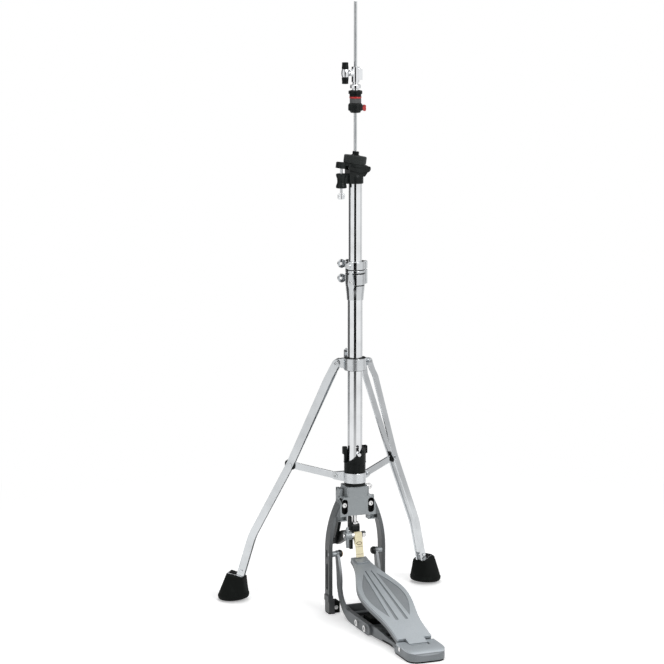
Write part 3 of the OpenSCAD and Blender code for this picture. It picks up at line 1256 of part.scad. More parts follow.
module footboard() color("#a9adb1") stand() difference() {
    union() {
        board_frame() {
            difference() {
                translate([0, 0, -board_t - board_rim_h])
                    linear_extrude(board_t + board_rim_h) polygon(board_plan(0));
                translate([0, 0, -board_t - board_rim_h - cut])
                    linear_extrude(board_rim_h + cut) polygon(board_plan(3));
                both_sides() translate([0, 0, -1]) linear_extrude(2) polygon(leaf());
                both_sides() translate([0, 0, -1.2]) linear_extrude(3) polygon(concat(
                    [[5, 255], [7, 255]], arc([9.5, 84], 3, 0, -180, 8)));
            }
            translate([-tongue_half_w, 2, -board_t])
                cube([2 * tongue_half_w, board_heel_edge + 2, board_t]);
        }
        x_rod(-knuckle_half_w, knuckle_half_w, heel_y, heel_z, 2 * knuckle_r);
        along_x(1 - knuckle_half_w, knuckle_half_w - 1) polygon([
            [heel_y - 3, heel_z + 3], [heel_y + 3, heel_z - 4],
            [heel_y + 16, heel_h - board_t + 3], [heel_y + 8, heel_h + 1]]);
    }
    x_rod(-60, 60, heel_y, heel_z, heel_pin_d + 2 * pin_fit);
}

module toe_clamp() color("#6f7376") stand() board_frame() {
    translate([0, board_len - 9, 0]) linear_extrude(toe_plate_t)
        polygon(pill([0, 0], 2 * board_toe_half_w - 6, 15, 3));
    for (x = [-9, 9])
        translate([x, board_len - 12, toe_plate_t]) cylinder(h = 1.2, d = 4.5);
}

lower_tube();
upper_tube();
height_clamp();
tube_bush();
clamp_bolt();
memory_lock();
memory_bolt();
tilter_body();
tilt_plate();
tilt_pin();
seat_felt();
seat_sleeve();
tilt_screw();
clutch_body();
clutch_bolt();
clutch_tips();
clutch_sleeve();
clutch_ring();
clutch_felt();
clutch_nut();
clutch_lever();
pull_rod();
lower_rod();
rod_connector();
rod_link();
return_spring();
tension_stud();
tension_dial();
swivel_bush();
lower_collar();
upper_collar();
collar_bolt();
left_leg();
right_leg();
left_foot();
right_foot();
left_brace();
right_brace();
left_spacer();
right_spacer();
pedal_frame();
frame_bolts();
frame_feet();
fold_bolts();
fold_nuts();
lever_bracket();
fulcrum_axle();
lever_arm();
strap_clamp();
strap_axle();
strap();
side_plates();
base_frame();
base_rubbers();
rail_screws();
heel_plate();
heel_pin();
footboard();
toe_clamp();
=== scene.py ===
"""Hi-hat stand: finishes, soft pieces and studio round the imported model."""

import json
import math

import bmesh
import bpy
import numpy as np
from bpy.props import FloatProperty, FloatVectorProperty, IntProperty, PointerProperty
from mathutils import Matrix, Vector


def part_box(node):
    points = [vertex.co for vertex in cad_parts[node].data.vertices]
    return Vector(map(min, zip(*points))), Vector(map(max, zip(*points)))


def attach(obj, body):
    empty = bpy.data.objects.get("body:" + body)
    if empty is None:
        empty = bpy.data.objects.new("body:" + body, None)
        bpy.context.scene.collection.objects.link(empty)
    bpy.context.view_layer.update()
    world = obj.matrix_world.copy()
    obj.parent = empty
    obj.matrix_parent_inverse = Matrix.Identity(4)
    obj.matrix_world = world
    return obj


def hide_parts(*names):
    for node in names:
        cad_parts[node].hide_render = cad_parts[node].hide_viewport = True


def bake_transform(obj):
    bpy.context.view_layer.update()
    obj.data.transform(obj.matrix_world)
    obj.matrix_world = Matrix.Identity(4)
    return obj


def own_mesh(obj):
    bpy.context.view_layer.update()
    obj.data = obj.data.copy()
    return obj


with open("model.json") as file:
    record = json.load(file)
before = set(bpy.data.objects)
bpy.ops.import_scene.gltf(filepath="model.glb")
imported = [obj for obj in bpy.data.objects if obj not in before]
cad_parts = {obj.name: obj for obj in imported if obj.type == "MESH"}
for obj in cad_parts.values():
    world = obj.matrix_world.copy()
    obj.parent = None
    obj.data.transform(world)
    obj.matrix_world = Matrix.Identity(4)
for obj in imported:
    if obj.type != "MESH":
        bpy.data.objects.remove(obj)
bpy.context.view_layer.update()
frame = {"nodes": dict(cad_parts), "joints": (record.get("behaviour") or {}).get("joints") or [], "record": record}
NODES = frame["nodes"]
JOINTS = {joint["name"]: joint for joint in frame["joints"]}
MOUNTS = {mount["name"]: mount for mount in frame["record"]["mounts"]}

bl_info = {
    "name": "Hi-hat Stand",
    "version": (1, 0, 0),
    "blender": (4, 5, 0),
    "location": "View3D > Sidebar > Stand",
    "description": "Finishes, soft pieces and studio of a hi-hat stand",
    "category": "Object",
}

MM = 0.001
ACROSS = np.array([1.0, 0.0, 0.0])
UP = np.array([0.0, 0.0, 1.0])
WHITE = (1.0, 1.0, 1.0, 1.0)
BLACK = (0.0, 0.0, 0.0, 1.0)

# The picture's side in pixels, the camera's sensor in millimetres, and the place in the picture of the
# point that the camera aims at, in pixels right of its middle and above it
IMAGE_SIZE = 664
SENSOR = 36.0
AIM_PIXEL = (23.0, 3.5)

# Nodes by finish. Nodes that a new piece replaces aren't listed.
FINISH_NODES = {
    "chrome": [
        "lower_tube", "upper_tube", "clamp_bolt", "memory_bolt", "tilt_screw", "clutch_body", "clutch_bolt",
        "lower_rod", "tension_stud", "collar_bolt",
    ],
    "steel": [
        "frame_bolts", "rail_screws", "strap_axle", "fulcrum_axle", "heel_pin", "tilt_pin", "rod_connector",
    ],
    "satin_chrome": ["left_leg", "right_leg", "left_brace", "right_brace", "pull_rod"],
    "clamp_chrome": ["height_clamp", "memory_lock"],
    "collar_chrome": ["lower_collar", "upper_collar"],
    "casting": ["strap_clamp", "fold_bolts"],
    "frame_casting": ["pedal_frame"],
    "tray_casting": ["base_frame"],
    "dark_casting": ["side_plates"],
    "heel_casting": ["heel_plate"],
    "board": ["footboard", "toe_clamp"],
    "black_metal": ["tilter_body", "tilt_plate", "lever_arm", "lever_bracket", "rod_link", "clutch_nut"],
    "tipped_nut": ["fold_nuts"],
    "black_plastic": [
        "tension_dial", "tube_bush", "swivel_bush", "left_spacer", "right_spacer", "clutch_tips",
        "clutch_sleeve", "seat_sleeve",
    ],
    "rubber": ["frame_feet", "base_rubbers"],
    "red_plastic": ["clutch_ring", "clutch_lever"],
}

# Places on the castings, as boxes about the post in millimetres with a soft edge; x counts to both sides.
# The slots of the pedal frame and the hollow of the tray are painted black as painted shade.
SLOT_SHADE_BOX = ((20.6, -16.2, 193.0), (33.6, 0.0, 225.0))
TRAY_SHADE_BOX = ((-1.0, -262.0, 2.0), (33.0, -50.0, 6.8))
BOX_EDGE = 0.3

# The arms of the pedal frame, below its front plate, and the skirt of the heel plate, below its rounded
# rim, are painted darker as painted shade.
ARMS_SHADE_BOX = ((36.5, -60.0, -1.0), (90.0, 60.0, 222.0))
HEEL_SHADE_BOX = ((-1.0, -365.0, 0.0), (45.0, -280.0, 17.5))

# The grooves of the clamps and of the collars lie inside these radii about the post, and are painted
# dark as painted shade. Those of the clamps run from GROOVE_BELOW under the height clamp's top to
# GROOVE_ABOVE over it.
CLAMP_GROOVE = 18.9 * MM
COLLAR_GROOVE = 21.3 * MM
GROOVE_BELOW = 30.25 * MM
GROOVE_ABOVE = 1.4 * MM

# Lean of the footboard at rest, and height of its top above its hinge
BOARD_LEAN = math.radians(16.607)
BOARD_RISE = 7.0 * MM

# The left fold nut shows its brass tip nearer to the post's plane than this.
NUT_TIP = 31.5 * MM

# The strap's eyelet: height above the strap's lower end, then half its width, half its height and the
# radius of its edge
EYELET_PLACE = 27.0 * MM
EYELET_SIZES = (5.0 * MM, 2.4 * MM, 0.6 * MM)

# The strap's stitches: heights of the two rows, stitches in a row, half a row as a share of the strap's
# width, then the length and the radius of a stitch
STITCH_ROWS = (6.0 * MM, 20.5 * MM)
STITCH_COUNT = 7
STITCH_SPREAD = 0.40
STITCH_SIZES = (1.7 * MM, 0.4 * MM)

# Sections of a dark disc set as painted shade in a rivet's hollow and of a cap screw: radius and rise in
# millimetres, from the middle of the head over its rim to the middle of its back
RIVET_SHADE_SECTION = np.array([
    (0.02, -0.25), (1.2, -0.05), (1.7, 0.12), (2.0, 0.10), (2.15, 0.0), (2.15, -0.4), (0.02, -0.4),
])
CAP_SECTION = np.array([
    (0.02, -0.1), (1.3, -0.1), (1.4, 0.9), (1.6, 1.2), (2.3, 1.2), (2.75, 0.9), (2.8, -0.9), (0.02, -0.9),
])

# Section of a foot's tread, from the middle of the sole to the lip: rise in millimetres and share of the
# foot's radius. That of its shoulder: depth below the upper face and share of the face's half width.
TREAD_SECTION = np.array([
    (0.0, 0.01), (0.0, 0.7), (0.9, 0.82), (2.6, 0.935), (5.4, 0.985), (10.0, 1.0), (11.0, 0.99),
    (11.6, 0.965),
])
SHOULDER_SECTION = np.array([(-3.0, 1.0), (-1.6, 0.985), (-0.6, 0.94), (-0.25, 0.87), (-0.25, 0.01)])


def node_box(name):
    """A CAD node's lowest and highest corners as arrays."""
    low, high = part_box(name)
    return np.array(low), np.array(high)


def unit(vector):
    """A vector of the same direction and length 1."""
    return vector / np.linalg.norm(vector)


def full_turn(count):
    """Angles spread evenly round a circle."""
    return np.linspace(0.0, math.tau, count, endpoint=False)


# Foot of the post's axis on the floor
POST = np.mean(node_box("pull_rod"), axis=0) * (1.0, 1.0, 0.0)


def swatch(name, description, default):
    """A property for a colour."""
    return FloatVectorProperty(name=name, description=description, default=default, subtype="COLOR",
                               size=3, min=0.0, max=1.0)


def metres(name, description, default):
    """A property for a length."""
    return FloatProperty(name=name, description=description, default=default, min=0.0, unit="LENGTH",
                         precision=4)


def degrees(name, description, default):
    """A property for an angle, given in degrees."""
    return FloatProperty(name=name, description=description, default=math.radians(default), unit="ROTATION")


class StandFinishes(bpy.types.PropertyGroup):
    """Colours of the finishes."""

    chrome: swatch("Chrome", "Tubes, wing bolts and clutch", (0.76, 0.775, 0.79))
    steel: swatch("Steel", "Screws, pins and spring", (0.66, 0.66, 0.66))
    satin_chrome: swatch("Satin chrome", "Legs, braces, clamps, collars and rod", (0.58, 0.60, 0.615))
    casting: swatch("Casting", "Pedal frame, strap clamp and fold bolts", (0.26, 0.28, 0.29))
    dark_casting: swatch("Dark casting", "Side plates and tray", (0.155, 0.165, 0.172))
    board: swatch("Footboard", "Footboard and heel plate", (0.39, 0.425, 0.45))
    board_panel: swatch("Footboard panels", "Sunk panels and grooves", (0.22, 0.24, 0.255))
    brass: swatch("Brass", "Tip of the left fold nut", (0.62, 0.36, 0.14))
    black_metal: swatch("Black metal", "Painted black pieces", (0.0065, 0.008, 0.0078))
    black_plastic: swatch("Black plastic", "Moulded black pieces", (0.0042, 0.0055, 0.0053))
    rubber: swatch("Rubber", "Feet and pads", (0.0055, 0.0065, 0.006))
    red_plastic: swatch("Red plastic", "Ring and release lever of the clutch", (0.36, 0.016, 0.015))
    seat_felt: swatch("Seat felt", "Dark felt under the lower cymbal", (0.017, 0.0195, 0.019))
    clutch_felt: swatch("Clutch felt", "Grey felt of the clutch", (0.072, 0.074, 0.075))
    webbing: swatch("Webbing", "Woven pedal strap", (0.92, 0.84, 0.58))
    thread: swatch("Thread", "Eyelet and stitches of the strap", (0.12, 0.075, 0.04))


class StandPieces(bpy.types.PropertyGroup):
    """Sizes of the pieces that are worked out here."""

    web_width: metres("Strap width", "Width of the webbing", 15.5 * MM)
    web_thickness: metres("Strap thickness", "Thickness of the webbing", 2.0 * MM)
    web_pitch: metres("Strap pitch", "Pitch of the weave across the webbing", 1.5 * MM)
    web_loop: metres("Strap loop", "Radius of the strap's middle line round its axle", 4.8 * MM)
    web_seam: metres("Strap seam", "Distance of the sewn seam below the axle", 20.0 * MM)
    web_neck: metres("Strap neck", "Distance below the axle where the part that folds starts", 7.0 * MM)
    spring_wire: metres("Spring wire", "Diameter of the return spring's wire", 2.0 * MM)
    spring_turns: IntProperty(name="Spring turns", description="Turns of the coil", default=12, min=3)
    spring_share: FloatProperty(name="Spring share", description="Share of the coil below its knee",
                                default=0.28, min=0.1, max=0.9, subtype="FACTOR")
    seat_bore: metres("Seat felt bore", "Radius of the hole in the seat felt", 8.9 * MM)
    clutch_bore: metres("Clutch felt bore", "Radius of the hole in the clutch felt", 6.4 * MM)
    felt_ripple: metres("Felt ripple", "How far the felt's edge wanders", 0.25 * MM)
    foot_reach: metres("Foot reach", "Post to the middle of a foot's sole", 246.0 * MM)
    foot_top_reach: metres("Foot top reach", "Post to the middle of a foot's upper face", 239.9 * MM)
    foot_height: metres("Foot height", "Height of the middle of a foot's upper face", 51.0 * MM)
    foot_width: metres("Foot width", "Diameter of a foot at its tread", 62.0 * MM)
    foot_top_width: metres("Foot top width", "Width of a foot's upper face", 37.0 * MM)
    foot_splay: degrees("Foot splay", "Lean of the sole away from the post", 5.0)
    foot_lean: degrees("Foot lean", "Lean of the upper face towards the post", 13.0)
    foot_round: FloatProperty(name="Foot squareness", description="Power of the foot's outline at its top",
                              default=4.2, min=2.0, max=8.0)


class StandStudio(bpy.types.PropertyGroup):
    """Camera and light."""

    distance: metres("Distance", "Camera to the post, along the floor", 4.481)
    height: metres("Height", "Height of the camera", 1.318)
    turn: degrees("Turn", "Camera's turn about the post", -21.82)
    lens: FloatProperty(name="Lens", description="Focal length", default=130.3, subtype="DISTANCE_CAMERA")
    aim: metres("Aim", "Height of the point on the post that the camera aims at", 0.55)
    world: FloatProperty(name="Ambient", description="Light from all round", default=0.30, min=0.0)
    key: FloatProperty(name="Key light", description="Soft light from the right, in watts", default=60.0,
                       subtype="POWER")


class Value:
    """A socket in a node tree; arithmetic on it adds Math nodes."""

    def __init__(self, shade, socket):
        self.shade = shade
        self.socket = socket

    def math(self, operation, *others):
        """One Math node with this value first."""
        inputs = dict(enumerate((self, *others)))
        return self.shade.node("ShaderNodeMath", {"operation": operation}, inputs)

    def __add__(self, other):
        return self.math("ADD", other)

    __radd__ = __add__

    def __mul__(self, other):
        return self.math("MULTIPLY", other)

    __rmul__ = __mul__

    def __sub__(self, other):
        return self.math("SUBTRACT", other)

    def __rsub__(self, other):
        return self.shade.node("ShaderNodeMath", {"operation": "SUBTRACT"}, {0: other, 1: self})

    def step(self, low, high):
        """Smooth step from 0 at low to 1 at high."""
        inputs = {"Value": self, "From Min": low, "From Max": high}
        return self.shade.node("ShaderNodeMapRange", {"interpolation_type": "SMOOTHSTEP"}, inputs)


class Shade:
    """The node tree of a material or a world, built through one node-making method."""

    def __init__(self, owner):
        self.owner = owner
        self.owner.use_nodes = True
        self.tree = owner.node_tree
        self.tree.nodes.clear()

    def node(self, kind, settings=None, inputs=None, output=0):
        """Adds a node: its settings first, then its sockets' values or links."""
        made = self.tree.nodes.new(kind)
        for key, value in (settings or {}).items():
            setattr(made, key, value)
        for key, value in (inputs or {}).items():
            socket = made.inputs[key]
            if isinstance(value, Value):
                self.tree.links.new(value.socket, socket)
            else:
                socket.default_value = value
        return Value(self, made.outputs[output]) if made.outputs else None

    def axis(self, vector, name):
        """One component of a vector."""
        return self.node("ShaderNodeSeparateXYZ", None, {0: vector}, output=name)

    def noise(self, vector, scale, detail=2.0, rough=0.5):
        """Noise between 0 and 1, scale in cells per metre."""
        inputs = {"Vector": vector, "Scale": scale, "Detail": detail, "Roughness": rough}
        return self.node("ShaderNodeTexNoise", {"noise_dimensions": "3D"}, inputs)

    def mix(self, factor, first, second):
        """Two colours mixed by a factor."""
        inputs = {0: factor, 6: opaque(first), 7: opaque(second)}
        return self.node("ShaderNodeMix", {"data_type": "RGBA", "blend_type": "MIX"}, inputs, output=2)

    def vector(self, operation, first, second, output="Vector"):
        """One Vector Math node; its output is a vector, or a number as Value."""
        return self.node("ShaderNodeVectorMath", {"operation": operation}, {0: first, 1: second}, output)

    def along(self, place, origin, direction):
        """Distance of a place from an origin, along a direction."""
        return self.vector("DOT_PRODUCT", place, direction, "Value") - float(np.dot(origin, direction))

    def reach(self, place):
        """Distance from the post's axis."""
        flat = self.vector("MULTIPLY", place, (1.0, 1.0, 0.0))
        return self.vector("DISTANCE", flat, tuple(POST), "Value")

    def inside(self, place, box):
        """1 inside a box in millimetres about the post, on both sides of its plane, and 0 outside."""
        share = 1.0
        for name, centre, low, high in zip("XYZ", POST, *box):
            value = self.axis(place, name) - float(centre)
            if name == "X":
                value = value.math("ABSOLUTE")
            rising = value.step((low - BOX_EDGE) * MM, low * MM)
            falling = 1.0 - value.step(high * MM, (high + BOX_EDGE) * MM)
            share = rising * falling * share
        return share

    def flaked(self, flakes, tint, bright, dark):
        """A tint with bright and dark flakes, each a pair of strength and colour."""
        tint = self.mix(flakes.step(0.58, 0.78) * bright[0], tint, bright[1])
        return self.mix((1.0 - flakes.step(0.24, 0.42)) * dark[0], tint, dark[1])

    def seen(self):
        """1 for a ray of the camera, a reflection or a glass, and 0 for the rays that light things."""
        share = self.node("ShaderNodeLightPath", output="Is Camera Ray")
        for name in ("Is Glossy Ray", "Is Transmission Ray"):
            share = share.math("MAXIMUM", self.node("ShaderNodeLightPath", output=name))
        return share

    def rounded(self, radius):
        """Normal with the edges eased over a radius."""
        return self.node("ShaderNodeBevel", {"samples": 4}, {"Radius": radius})

    def bump(self, height, distance, strength, normal=None):
        """Normal raised by a height between 0 and 1."""
        inputs = {"Strength": strength, "Distance": distance, "Height": height}
        if normal is not None:
            inputs["Normal"] = normal
        return self.node("ShaderNodeBump", None, inputs)

    def glow(self, strength):
        """White light of a strength."""
        return self.node("ShaderNodeEmission", None, {"Color": WHITE, "Strength": strength})

    def surface(self, shader):
        """Joins a shader to the output, and gives the material."""
        self.node("ShaderNodeOutputMaterial", None, {"Surface": shader})
        return self.owner

    def finish(self, tint, rough, normal, **sockets):
        """Material of a Principled shader: colour, roughness and normal, and other sockets by name."""
        inputs = {"Base Color": tint, "Roughness": rough, "Normal": normal}
        inputs |= {key.replace("_", " "): value for key, value in sockets.items()}
        return self.surface(self.node("ShaderNodeBsdfPrincipled", None, inputs))


def new_shade(name):
    """A new material's node tree, and its Object coordinates, which are those of the shared frame."""
    shade = Shade(bpy.data.materials.new(name))
    return shade, shade.node("ShaderNodeTexCoord", output="Object")


def opaque(colour):
    """A colour with four channels; a linked value stays as it is."""
    return colour if isinstance(colour, Value) else (*tuple(colour)[:3], 1.0)


def shaded(colour, factor):
    """A colour made lighter or darker."""
    return tuple(min(1.0, channel * factor) for channel in tuple(colour)[:3])


def chrome_finish(name, colour, roughness, edge, groove=None):
    """Plating: slow smudges in roughness and colour, and eased edges.

    groove gives a radius about the post and two heights. What lies deeper than the radius between
    the heights is a groove, painted dark as painted shade.
    """
    shade, place = new_shade(name)
    smudge = shade.noise(place, 22.0, detail=4.0, rough=0.6)
    grain = shade.noise(place, 420.0)
    tint = shade.mix(smudge.step(0.35, 0.75), shaded(colour, 1.06), shaded(colour, 0.90))
    rough = roughness + 0.10 * smudge.step(0.5, 0.8) + 0.03 * grain
    # Painted shade: the grooves are painted near black and rougher.
    if groove is not None:
        radius, low, high = groove
        soft = 0.1 * MM
        height = shade.axis(place, "Z")
        band = height.step(low - soft, low) * (1.0 - height.step(high, high + soft))
        sunk = band * (1.0 - shade.reach(place).step(radius - 0.45 * MM, radius - 0.15 * MM))
        tint = shade.mix(sunk, tint, shaded(colour, 0.03))
        rough = rough + 0.25 * sunk
    return shade.finish(tint, rough, shade.rounded(edge), Metallic=1.0)


def cast_paint(name, colour, edge, sparkle=1.0, recess_shade_box=None, painted_shade_box=None, painted_shade_share=0.0):
    """Metallic paint on a casting: fine flakes, slow clouds, a light orange-peel bump.

    The sunk place inside recess_shade_box is painted black as painted shade. Inside painted_shade_box the paint is
    darker by the share dim as painted shade, and less so higher up.
    """
    shade, place = new_shade(name)
    flakes = shade.noise(place, 950.0, detail=1.0)
    clouds = shade.noise(place, 26.0, detail=3.0, rough=0.55)
    tint = shade.mix(clouds, shaded(colour, 0.90), shaded(colour, 1.10))
    bright = (0.55 * sparkle, shaded(colour, 1.9))
    dark = (0.45 * sparkle, shaded(colour, 0.55))
    tint = shade.flaked(flakes, tint, bright, dark)
    rough = 0.36 + 0.14 * flakes
    # Painted shade: the paint inside the box darkens, less so higher up.
    if painted_shade_box is not None:
        depth = painted_shade_share * (1.0 - 0.32 * shade.axis(place, "Z").step(110.0 * MM, 210.0 * MM))
        tint = shade.mix(depth * shade.inside(place, painted_shade_box), tint, (0.01, 0.01, 0.01))
    # Painted shade: recesses inside the box are painted black and rougher.
    if recess_shade_box is not None:
        sunk = shade.inside(place, recess_shade_box)
        tint = shade.mix(sunk, tint, (0.006, 0.006, 0.0065))
        rough = rough + 0.3 * sunk
    normal = shade.bump(flakes, 0.12 * MM, 0.35, shade.rounded(edge))
    return shade.finish(tint, rough, normal, Metallic=0.45)


def board_paint(name, colour, panel, origin, upright, edge):
    """Footboard paint: as the castings, with sunk panels and grooves darker, and painted shade on the skirts.

    Depth below the top is the dot product of the place and the board's upright direction, and the
    distance from the heel that with the direction along the board, where painted shade darkens the
    paint slowly towards the toe.
    """
    shade, place = new_shade(name)
    depth = shade.along(place, origin, upright)
    sunk = (1.0 - depth.step(-0.9 * MM, -0.4 * MM)) * depth.step(-1.6 * MM, -1.3 * MM)
    skirt = 1.0 - depth.step(-6.5 * MM, -2.2 * MM)
    toeward = np.array([0.0, upright[2], -upright[1]])
    toe = shade.along(place, origin, toeward).step(50.0 * MM, 240.0 * MM)
    flakes = shade.noise(place, 900.0, detail=1.0)
    clouds = shade.noise(place, 18.0, detail=3.0, rough=0.55)
    # Painted shade: the skirts take a darker tone of the panel colour, and the paint darkens towards the toe.
    base = shade.mix(skirt, shade.mix(sunk, colour, panel), shaded(panel, 0.6))
    base = shade.mix(0.20 * toe, base, (0.01, 0.01, 0.01))
    tint = shade.mix(clouds, shade.mix(0.08, base, BLACK), shade.mix(0.06, base, WHITE))
    tint = shade.flaked(flakes, tint, (0.25, shaded(colour, 1.4)), (0.40, shaded(panel, 0.7)))
    normal = shade.bump(flakes, 0.12 * MM, 0.35, shade.rounded(edge))
    return shade.finish(tint, 0.34 + 0.14 * flakes, normal, Metallic=0.40, Specular_IOR_Level=0.3)


def black_paint(name, colour, edge):
    """Satin black paint: a fine grain, faint lighter clouds and eased edges."""
    shade, place = new_shade(name)
    grain = shade.noise(place, 700.0)
    clouds = shade.noise(place, 40.0, detail=3.0)
    tint = shade.mix(clouds.step(0.4, 0.7), colour, shaded(colour, 1.8))
    normal = shade.bump(grain, 0.1 * MM, 0.4, shade.rounded(edge))
    return shade.finish(tint, 0.30 + 0.16 * grain, normal, Specular_IOR_Level=0.14)


def tipped_plastic(name, colour, tip, reach, edge):
    """Moulded cap nuts: black, and the left one with a bright tip nearer to the post than its reach."""
    shade, place = new_shade(name)
    grain = shade.noise(place, 1300.0, detail=1.0)
    side = shade.axis(place, "X") - float(POST[0])
    near = side.step(-reach - 0.3 * MM, -reach) * (1.0 - side.step(-1.0 * MM, 0.0))
    tint = shade.mix(near, shade.mix(grain, shaded(colour, 0.8), shaded(colour, 1.3)), tip)
    normal = shade.bump(grain, 0.06 * MM, 0.35, shade.rounded(edge))
    return shade.finish(tint, 0.34 + 0.10 * grain, normal, Metallic=near, Specular_IOR_Level=0.3)


def moulded_plastic(name, colour, edge, roughness, gloss):
    """Moulded plastic: even colour, slight flow clouds and a fine spark-eroded grain."""
    shade, place = new_shade(name)
    grain = shade.noise(place, 1300.0, detail=1.0)
    flow = shade.noise(place, 60.0)
    tint = shade.mix(flow, shaded(colour, 0.85), shaded(colour, 1.2))
    normal = shade.bump(grain, 0.06 * MM, 0.35, shade.rounded(edge))
    return shade.finish(tint, roughness + 0.12 * grain, normal, Specular_IOR_Level=gloss)


def rubber_finish(name, colour):
    """Rubber: dusty patches over a dull, finely pitted surface."""
    shade, place = new_shade(name)
    pits = shade.node("ShaderNodeTexVoronoi", None, {"Vector": place, "Scale": 1400.0}, output="Distance")
    dust = shade.noise(place, 55.0, detail=4.0, rough=0.6)
    tint = shade.mix(dust.step(0.5, 0.85), colour, shaded(colour, 2.2))
    normal = shade.bump(pits, 0.08 * MM, 0.5)
    return shade.finish(tint, 0.62 + 0.18 * dust, normal, Specular_IOR_Level=0.08)


def felt_finish(name, colour, contrast):
    """Felt: matted fibres as stretched noise in two directions over fine mottling."""
    shade, place = new_shade(name)
    first = shade.noise(shade.vector("MULTIPLY", place, (1.0, 0.22, 1.0)), 1500.0, detail=3.0, rough=0.6)
    second = shade.noise(shade.vector("MULTIPLY", place, (0.25, 1.0, 0.8)), 1300.0, detail=3.0, rough=0.6)
    mottle = shade.noise(place, 420.0, detail=3.0, rough=0.6)
    fibre = 0.5 * first + 0.5 * second
    hollow = shaded(colour, 1.0 - 0.55 * contrast)
    tint = shade.mix(fibre.step(0.35, 0.65), hollow, shaded(colour, 1.0 + contrast))
    tint = shade.mix(mottle.step(0.58, 0.75) * 0.5, tint, shaded(colour, 1.0 + 2.2 * contrast))
    normal = shade.bump(0.7 * fibre + 0.3 * mottle, 0.6 * MM, 0.8)
    return shade.finish(tint, 0.95, normal, Specular_IOR_Level=0.1, Sheen_Weight=0.1, Sheen_Roughness=0.6)


def woven_finish(name, colour, pitch):
    """Woven webbing on its UV map in metres: warp and weft as crossing sine waves."""
    shade, place = new_shade(name)
    uv = shade.node("ShaderNodeUVMap", {"uv_map": "weave"})
    across = shade.axis(uv, "X") * (math.tau / pitch)
    along = shade.axis(uv, "Y") * (math.tau / (1.35 * pitch))
    weave = 0.5 + 0.5 * across.math("SINE") * along.math("SINE")
    wear = shade.noise(place, 160.0, detail=3.0, rough=0.55)
    tint = shade.mix(weave, shaded(colour, 0.72), shaded(colour, 1.08))
    tint = shade.mix(wear.step(0.5, 0.8) * 0.35, tint, shaded(colour, 0.66))
    normal = shade.bump(weave, 0.4 * MM, 0.8)
    return shade.finish(tint, 0.85, normal, Sheen_Weight=0.15)


def cover(name, material):
    """Gives a CAD node one material."""
    slots = NODES[name].data.materials
    slots.clear()
    slots.append(material)


def grid_faces(rows, columns, ring_rows=False):
    """Quads between neighbouring points of a grid; its columns, and on request its rows, form a ring."""
    row, column = np.meshgrid(np.arange(rows if ring_rows else rows - 1), np.arange(columns), indexing="ij")
    here = row * columns
    below = (row + 1) % rows * columns
    right = (column + 1) % columns
    corners = (here + column, here + right, below + right, below + column)
    return np.stack(corners, axis=-1).reshape(-1, 4)


def add_object(name, data):
    """A new object in the scene, at the origin."""
    made = bpy.data.objects.new(name, data)
    bpy.context.scene.collection.objects.link(made)
    return made


def add_mesh(name, points, faces, material):
    """A new mesh object from an array of points and a list of faces."""
    mesh = bpy.data.meshes.new(name)
    mesh.from_pydata(points.reshape(-1, 3).tolist(), [], faces)
    mesh.materials.append(material)
    return add_object(name, mesh)


def make_piece(name, grids, material, body, ring_rows=False, uv=None):
    """A mesh from grids of points, (count, rows, columns, 3); open rows end in caps.

    Every grid in the stack gets the same faces, and the normals are turned outwards. A piece made
    with no body is attached to none.
    """
    count, rows, columns = grids.shape[:3]
    size = rows * columns
    faces = grid_faces(rows, columns, ring_rows).tolist()
    if not ring_rows:
        faces += [list(range(columns)), list(range(size - columns, size))]
    stacked = [[corner + size * k for corner in face] for k in range(count) for face in faces]
    piece = add_mesh(name, grids, stacked, material)
    mesh = piece.data
    turned = bmesh.new()
    turned.from_mesh(mesh)
    bmesh.ops.recalc_face_normals(turned, faces=turned.faces)
    turned.to_mesh(mesh)
    turned.free()
    mesh.polygons.foreach_set("use_smooth", np.ones(len(mesh.polygons), dtype=bool))
    if uv is not None:
        layer = mesh.uv_layers.new(name="weave")
        vertex = np.empty(len(mesh.loops), dtype=np.int32)
        mesh.loops.foreach_get("vertex_index", vertex)
        layer.data.foreach_set("uv", uv.reshape(-1, 2)[vertex].astype(np.float32).ravel())
    mesh.update()
    if body is not None:
        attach(piece, body)
    return piece


def power(value, exponent):
    """Signed power, the building block of superellipses."""
    return np.sign(value) * np.abs(value) ** exponent


def strap_path(axle, toe, loop, seam):
    """Middle line of the strap in the (y, z) plane, and its length so far.

    Straight from the toe to where it touches the loop circle, round the top of the axle a little
    past the half turn, and down behind to the seam, where the tail meets the front run.
    """
    past = 0.35
    reach = axle - toe
    distance = float(np.hypot(*reach))
    up = math.atan2(reach[1], reach[0]) + math.asin(loop / distance)
    start = axle + loop * np.array([-math.sin(up), math.cos(up)])
    front = toe + np.linspace(0.0, 1.0, 60)[:, None] * (start - toe)
    turn = np.linspace(up + math.pi / 2, up - math.pi / 2 - past, 48)[1:]
    over = axle + loop * np.stack([np.cos(turn), np.sin(turn)], axis=-1)
    meet = axle - seam * reach / distance
    tail = over[-1] + np.linspace(0.0, 1.0, 24)[1:, None] * (meet - over[-1])
    path = np.concatenate([front, over, tail])
    return path, np.concatenate([[0.0], np.cumsum(np.hypot(*np.diff(path, axis=0).T))])


def webbing_surface(path, travel, middle, width, thickness):
    """Flat ribbon: a superellipse of the webbing's width and thickness carried along the path."""
    tangent = np.gradient(path, axis=0)
    tangent /= np.hypot(tangent[:, 0], tangent[:, 1])[:, None]
    normal = np.stack([-tangent[:, 1], tangent[:, 0]], axis=-1)
    angle = full_turn(48)
    side = 0.5 * width * power(np.cos(angle), 0.22)
    rise = 0.5 * thickness * power(np.sin(angle), 0.55)
    grid = np.empty((len(path), len(angle), 3))
    grid[..., 0] = middle + side
    grid[..., 1:] = path[:, None] + rise[None, :, None] * normal[:, None]
    uv = np.stack(np.broadcast_arrays(side[None, :], travel[:, None]), axis=-1)
    return grid[None], uv


